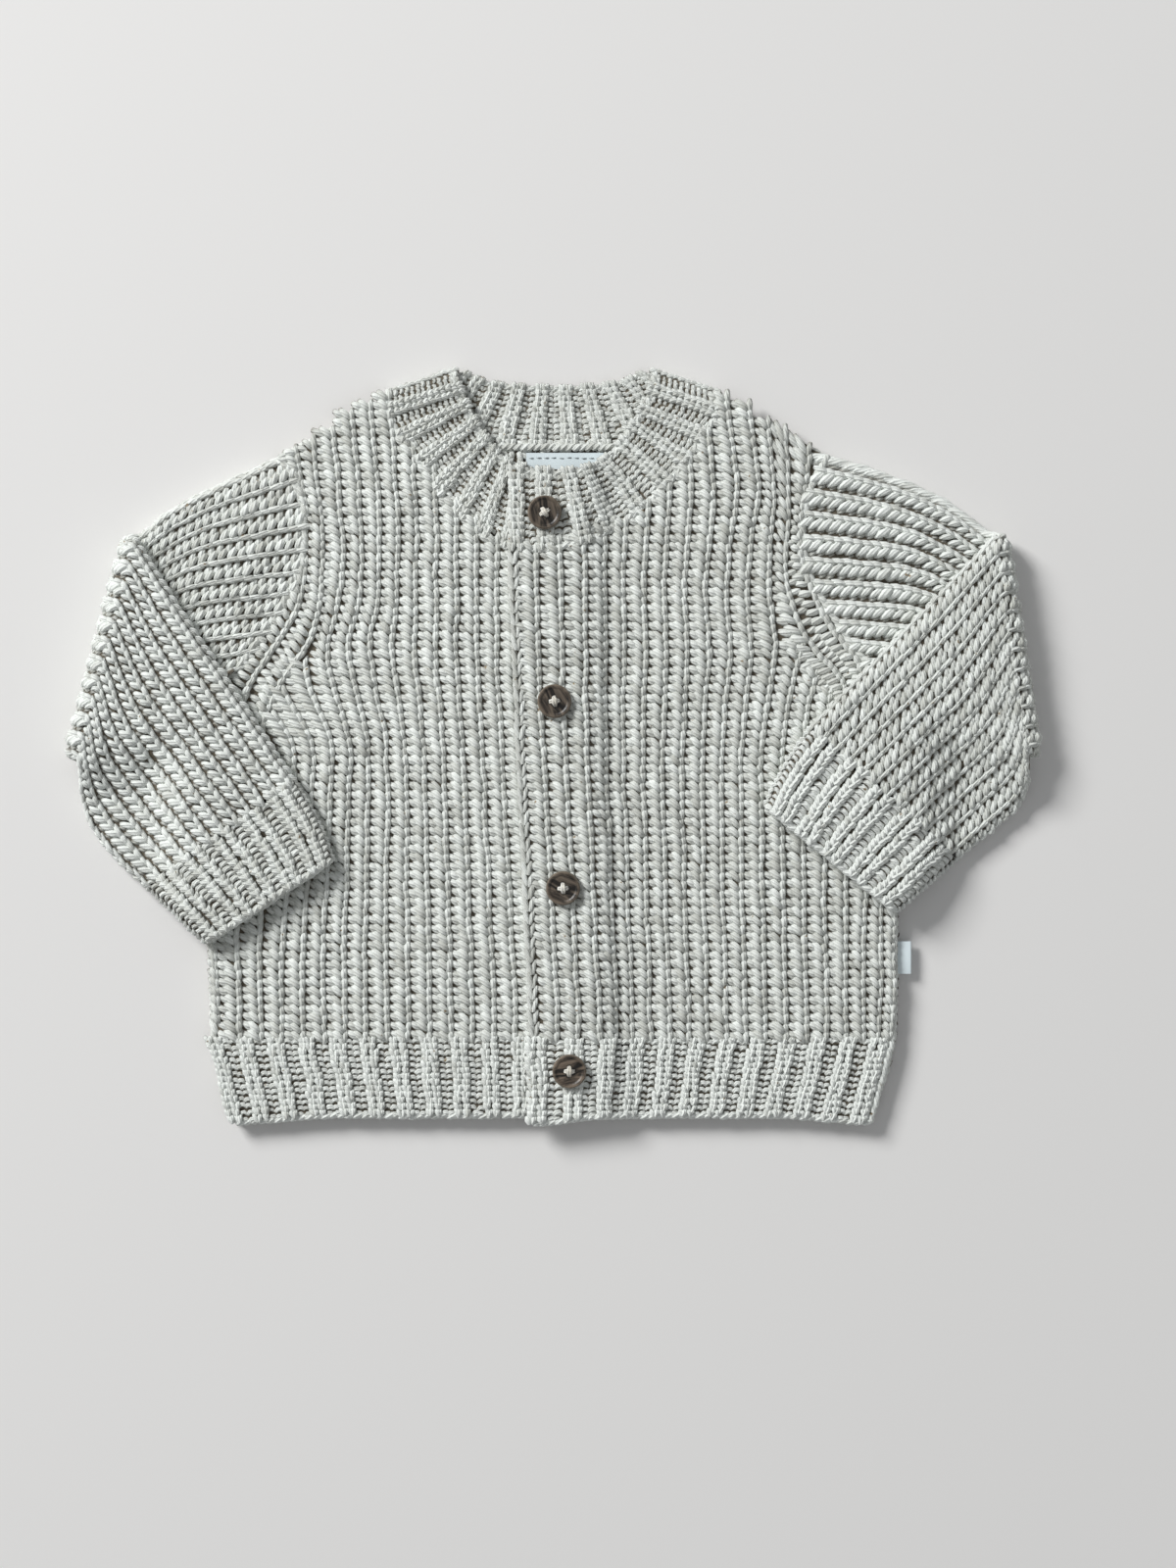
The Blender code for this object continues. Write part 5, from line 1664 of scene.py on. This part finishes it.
@dataclass
class Button:
    """A four-hole button, and the yarn that holds it."""

    number: int
    x: float
    y: float
    turn: float
    light: str = "#695e52"

    HOLE_OFFSET = 1.9
    FACE = 12.8  # height of the dished face
    SPREAD = 0.42  # from the middle of a pair of yarn ends to each of them
    PAIRS = ((0.0, 0.75), (90.0, 1.15))  # turn of each pair, and how far it stands up over the face

    def build(self, bench: Bench, cotton: bpy.types.Material) -> None:
        """Gives the button its wood, and sews it with two pairs of yarn ends that cross."""
        turn = self.turn + 40.0 * self.number
        wood = TurnedWood(f"brown_wood_{self.number}", (self.x, self.y), turn, light=self.light).material()
        for slot in frame["nodes"][f"button_{self.number}"].material_slots:
            slot.material = wood
        knitter = Knitter(f"button_thread_{self.number}_stitches", 30 + self.number)
        along = np.array([-2.25, -1.75, -0.9, 0.0, 0.9, 1.75, 2.25])
        bulge = 1.2 - 0.12 * along[:, None] ** 2
        half = np.array([0.4, 0.5, 0.55, 0.55, 0.55, 0.5, 0.4])
        for pair, crown in self.PAIRS:
            angle = np.radians(self.turn + pair)
            way, aside = np.array([np.cos(angle), np.sin(angle)]), np.array([-np.sin(angle), np.cos(angle)])
            for offset in (-self.SPREAD, self.SPREAD):
                plan = np.array([self.x, self.y]) + along[:, None] * way + offset * bulge * aside
                level = self.FACE + crown - np.abs(along / self.HOLE_OFFSET) ** 3 * (crown + 0.35)
                strand = np.column_stack([plan, level]) + knitter.random.normal(0.0, 0.05, (7, 3))
                knitter.add(strand[None], half, 7)
        thread = knitter.finish(bench.spinner, cotton)
        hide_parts(f"button_thread_{self.number}")
        attach(Slot.THREAD, thread)


@dataclass
class Studio:
    """The pale floor, the soft daylight and the camera straight above."""

    view_width: float = 482.4
    view_centre: tuple[float, float] = (14.2, -15.5)
    distance: float = 1300.0
    sensor: float = 36.0

    def build_floor(self) -> None:
        """Lays a floor just under the cardigan."""
        bpy.ops.mesh.primitive_plane_add(size=6.0, location=(0.0, 0.0, -0.0004))
        floor = bpy.context.object
        floor.name = "studio_floor"
        floor.data.materials.append(PaperFloor().material())
        floor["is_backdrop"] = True

    def build_lights(self) -> None:
        """Hangs one wide soft light at the upper left, and fills the rest with pale sky."""
        world = bpy.data.worlds.new("soft_sky")
        bpy.context.scene.world = world
        world.use_nodes = True
        sky = world.node_tree.nodes["Background"]
        sky.inputs["Color"].default_value = linear("#f3f5f8")
        sky.inputs["Strength"].default_value = 0.27
        for name, place, size, power in (
            ("window_light", (-2.6, 2.3, 2.2), 1.4, 172.0),
            ("fill_light", (1.6, -1.4, 3.2), 3.0, 7.0),
        ):
            data = bpy.data.lights.new(name, "AREA")
            data.size = size
            data.energy = power
            light = bpy.data.objects.new(name, data)
            light.location = place
            light.rotation_euler = (-light.location).to_track_quat("-Z", "Y").to_euler()
            bpy.context.collection.objects.link(light)

    def build_camera(self) -> None:
        """Places the camera straight above, so that the view's width is the given one at the fronts."""
        data = bpy.data.cameras.new("camera")
        data.sensor_fit = "HORIZONTAL"
        data.sensor_width = self.sensor
        data.lens = self.sensor * self.distance / self.view_width
        camera = bpy.data.objects.new("camera", data)
        height = self.distance + 2 * WALL
        camera.location = (self.view_centre[0] * MM, self.view_centre[1] * MM, height * MM)
        bpy.context.collection.objects.link(camera)
        bpy.context.scene.camera = camera

    def build(self) -> None:
        """Builds everything that isn't the cardigan."""
        bpy.context.scene.view_settings.view_transform = "Standard"
        self.build_floor()
        self.build_lights()
        self.build_camera()


def write_sizes() -> None:
    """Works out the CAD model's box and the finished model's box, as plain lists of numbers."""
    boxes = {
        name: [[round(float(value), 6) for value in corner] for corner in box]
        for name, box in (("cad", CAD_BOX), ("visual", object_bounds()))
    }


RIGHT_FRONT = Front(
    "front_right_panel",
    Slot.BRIOCHE,
    (0.162, 0.264),
    0.0332,
    "laid",
    ("back_panel",),
    11,
    side=Side.RIGHT,
    guides=(0, 3, 4, 8, 12, 13),
    levels=(
        (-120.8, (-117.7, -92.4, -83.7, -48.9, -13.8, -5.1)),
        (-91.9, (-118.7, -93.2, -84.3, -49.3, -14.6, -5.9)),
        (-47.6, (-115.3, -91.2, -83.1, -50.1, -17.0, -8.5)),
        (2.2, (-111.7, -89.1, -81.7, -52.0, -20.0, -12.0)),
        (17.5, (-126.5, -95.2, -86.7, -53.4, -21.0, -13.2)),
        (28.7, (-136.6, -98.4, -89.5, -54.2, -21.6, -13.6)),
        (40.8, (-144.6, -98.8, -93.2, -55.4, -21.6, -13.6)),
        (52.9, (-146.6, -95.2, -88.3, -55.0, -21.6, -13.6)),
        (64.9, (-146.6, -94.0, -85.1, -55.0, -21.6, -13.6)),
        (80.2, (-146.6, -93.2, -84.3, -54.6, -21.6, -13.6)),
        (105.1, (-146.6, -95.2, -86.3, -55.4, -21.6, -13.6)),
        (147.3, (-146.6, -99.2, -90.3, -57.4, -21.6, -13.6)),
    ),
    strip=(
        ((-139.6, -120.8), (-136.6, -120.8), (-126.3, -120.8), (-117.7, -120.8)),
        ((-141.0, -91.9), (-137.8, -91.9), (-127.3, -91.9), (-118.7, -91.9)),
        ((-141.2, -47.6), (-138.2, -47.6), (-127.7, -47.6), (-118.9, -47.6)),
        ((-141.6, -11.5), (-140.2, -11.5), (-127.3, -9.4), (-118.5, -7.4)),
        ((-141.8, 14.7), (-141.4, 14.7), (-126.1, 13.5), (-116.5, 13.1)),
        ((-136.6, 26.3), (-136.2, 26.3), (-121.7, 25.9), (-108.8, 27.1)),
        ((-126.9, 36.8), (-126.5, 36.8), (-113.7, 40.0), (-100.4, 37.6)),
        ((-119.3, 46.8), (-118.9, 46.8), (-107.6, 46.8), (-96.0, 46.8)),
        ((-110.6, 60.1), (-110.4, 60.1), (-102.0, 58.9), (-94.4, 58.9)),
        ((-104.0, 74.6), (-103.8, 74.6), (-100.4, 74.2), (-93.6, 75.0)),
        ((-102.3, 90.0), (-102.1, 90.0), (-99.6, 89.8), (-92.8, 89.8)),
        ((-105.6, 105.9), (-105.2, 105.9), (-102.0, 105.1), (-95.2, 105.1)),
        ((-111.7, 118.0), (-111.3, 118.0), (-103.2, 117.2), (-96.0, 116.8)),
        ((-112.9, 119.6), (-112.5, 119.8), (-104.0, 124.4), (-97.2, 128.0)),
    ),
    neck=tuple(rib[2:] for rib in NECK_RIBS_RIGHT[:6]),
    edge=((-14.8, 81.0), (0.1, 80.2), (0.1, Front.LOW)),
)
LEFT_FRONT = Front(
    "front_left_panel",
    Slot.BRIOCHE,
    (0.160, 0.264),
    0.0328,
    "laid",
    ("back_panel", "front_right_panel"),
    12,
    -0.06,
    side=Side.LEFT,
    guides=(0, 3, 5, 11, 12, 15),
    levels=(
        (-120.8, (-5.1, 20.6, 33.9, 80.5, 88.9, 113.9)),
        (-95.9, (-6.1, 19.8, 33.1, 79.7, 88.1, 113.5)),
        (-47.6, (-8.7, 17.8, 31.5, 78.5, 86.9, 113.1)),
        (-7.4, (-11.0, 15.8, 30.3, 78.1, 86.5, 113.1)),
        (16.3, (-12.4, 15.4, 30.3, 80.5, 88.7, 113.9)),
        (28.7, (-13.2, 15.0, 30.7, 82.1, 91.8, 117.9)),
        (40.8, (-14.0, 15.0, 30.7, 83.7, 94.2, 126.7)),
        (64.9, (-14.8, 14.6, 29.8, 80.1, 89.9, 122.7)),
        (105.1, (-14.8, 14.2, 31.5, 86.5, 92.2, 122.7)),
        (135.3, (-14.8, 14.2, 30.7, 82.1, 89.3, 118.7)),
        (149.3, (-14.8, 14.2, 30.3, 80.9, 88.5, 116.7)),
    ),
    strip=(
        ((113.9, -120.8), (121.9, -120.8), (129.1, -120.8), (134.8, -120.8), (139.6, -120.8)),
        ((113.5, -95.9), (121.5, -95.9), (128.7, -95.9), (136.0, -95.9), (140.4, -95.9)),
        ((113.5, -47.6), (121.9, -47.6), (129.9, -47.6), (136.0, -47.6), (141.2, -47.6)),
        ((113.9, -11.5), (122.3, -11.5), (130.8, -11.5), (136.4, -11.5), (141.6, -11.5)),
        ((114.7, 10.7), (122.3, 11.5), (132.0, 13.5), (136.8, 15.9), (141.6, 18.3)),
        ((113.9, 19.9), (121.9, 27.9), (129.1, 32.8), (130.8, 31.6), (132.4, 29.9)),
        ((107.4, 26.3), (115.9, 34.4), (121.9, 42.0), (122.7, 41.2), (123.9, 40.0)),
        ((101.8, 32.8), (110.2, 40.2), (115.1, 49.6), (115.9, 50.5), (116.7, 50.5)),
        ((94.6, 42.8), (104.2, 46.4), (110.7, 58.5), (111.1, 59.3), (111.1, 59.7)),
        ((91.4, 52.9), (99.4, 56.9), (107.8, 65.7), (108.0, 66.5), (108.2, 66.5)),
        ((89.9, 64.9), (96.6, 65.7), (103.4, 74.2), (103.8, 74.6), (104.2, 74.6)),
        ((90.6, 81.0), (97.0, 82.6), (102.2, 89.0), (102.4, 89.8), (102.6, 90.0)),
        ((91.8, 101.1), (98.2, 101.9), (104.2, 103.9), (104.8, 104.7), (105.4, 105.1)),
        ((91.0, 117.2), (98.2, 116.4), (106.2, 115.6), (107.8, 116.0), (109.0, 116.4)),
        ((89.3, 131.9), (97.0, 127.6), (107.8, 121.6), (110.2, 120.4), (112.7, 119.2)),
    ),
    neck=tuple(rib[2:] for rib in NECK_RIBS_LEFT[:1:-1]),
    edge=(
        (-14.8, 80.2),
        (-14.8, 64.9),
        (-14.0, 40.8),
        (-12.4, 16.3),
        (-11.0, -7.4),
        (-8.7, -47.6),
        (-6.1, -95.9),
        (-5.1, Front.LOW),
    ),
)

RIGHT_SLEEVE = Sleeve(Side.RIGHT)
LEFT_SLEEVE = Sleeve(Side.LEFT)
BACK_HEM_RIBS = tuple(np.linspace(138.0, -138.0, 23))
RIGHT_HEM_RIBS = (-139.2, -126.6, -114.1, -101.6, -89.0, -76.5, -63.9, -51.4, -38.9, -26.3, -13.8, -1.3)
LEFT_HEM_RIBS = (-6.7, 9.1, 22.6, 34.3, 46.5, 58.8, 71.3, 83.7, 96.2, 108.7, 121.1, 133.6)
ON_BACK_HEM = ("back_hem",)
ON_RIGHT = ("front_right_panel",)
ON_LEFT = ("front_left_panel",)

# Each with its node, slot, cut, area, lay, what it rests on, seed and lightness
PIECES = (
    Back("back_panel", Slot.BRIOCHE, (0.284, 0.264), 0.0643, "laid", (), 1),
    Hem(
        "back_hem", Slot.RIB, (0.279, 0.035), 0.0088, "laid", (), 2,
        ribs=BACK_HEM_RIBS, level=0.0, facing=Facing.DOWN,
    ),
    RIGHT_FRONT,
    Hem(
        "front_right_hem", Slot.RIB, (0.162, 0.035), 0.0051, "laid", ON_BACK_HEM, 3, 0.22,
        ribs=RIGHT_HEM_RIBS, ends=(-SIDE_AT_CORNER, 21.5), sides=(Side.RIGHT,),
    ),
    LEFT_FRONT,
    Hem(
        "front_left_hem", Slot.RIB, (0.149, 0.035), 0.0047, "laid", (*ON_BACK_HEM, "front_right_hem"),
        4, 0.32, ribs=LEFT_HEM_RIBS, climbs=True, ends=(-8.6, 130.2), sides=(Side.LEFT,),
    ),
    Neckband("neckband", Slot.RIB, (0.31, 0.031), 0.0089, "folded", ON_RIGHT, 5),
    SleevePart(
        "right_sleeve", Slot.BRIOCHE, (0.225, 0.17), 0.0267, "folded", ON_RIGHT, 6, sleeve=RIGHT_SLEEVE
    ),
    SleevePart(
        "right_cuff", Slot.RIB, (0.154, 0.034), 0.0048, "folded", ON_RIGHT, 7,
        sleeve=RIGHT_SLEEVE, is_cuff=True,
    ),
    SleevePart(
        "left_sleeve", Slot.BRIOCHE, (0.225, 0.17), 0.0271, "folded", ON_LEFT, 8, sleeve=LEFT_SLEEVE
    ),
    SleevePart(
        "left_cuff", Slot.RIB, (0.166, 0.034), 0.0053, "folded", ON_LEFT, 9, 0.36,
        sleeve=LEFT_SLEEVE, is_cuff=True,
    ),
)
BUTTONS = (
    Button(1, -3.5, 95.5, 30.0),
    Button(2, 0.5, 18.3, 8.0),
    Button(3, 4.0, -58.1, 4.0),
    Button(4, 6.6, -132.9, 0.0, "#786a5c"),
)


def main() -> None:
    """Builds the studio and each part of the cardigan in turn."""
    logging.basicConfig(level=logging.INFO, format="%(message)s")
    Studio().build()
    bench = Bench(Spinner(), CottonYarn().material(), KnitGround().material())
    for piece in PIECES:
        piece.build(bench)
    cotton = CottonYarn("button_cotton", "#fffdf4", "#e6e0d0", "#bdb5a2", plies=3, twist=5.0).material()
    for button in BUTTONS:
        button.build(bench, cotton)
    Labels().build(bench)
    write_sizes()
    endings = ("_yarn", "_ground", "_tape", "_stitches")
    added = [piece for piece in bpy.data.objects if piece.name.endswith(endings)]
    faces = [face for piece in added for face in piece.data.polygons]
    LOG.info("added: %d triangles", sum(len(face.vertices) - 2 for face in faces))


if __name__ == "__main__":
    main()
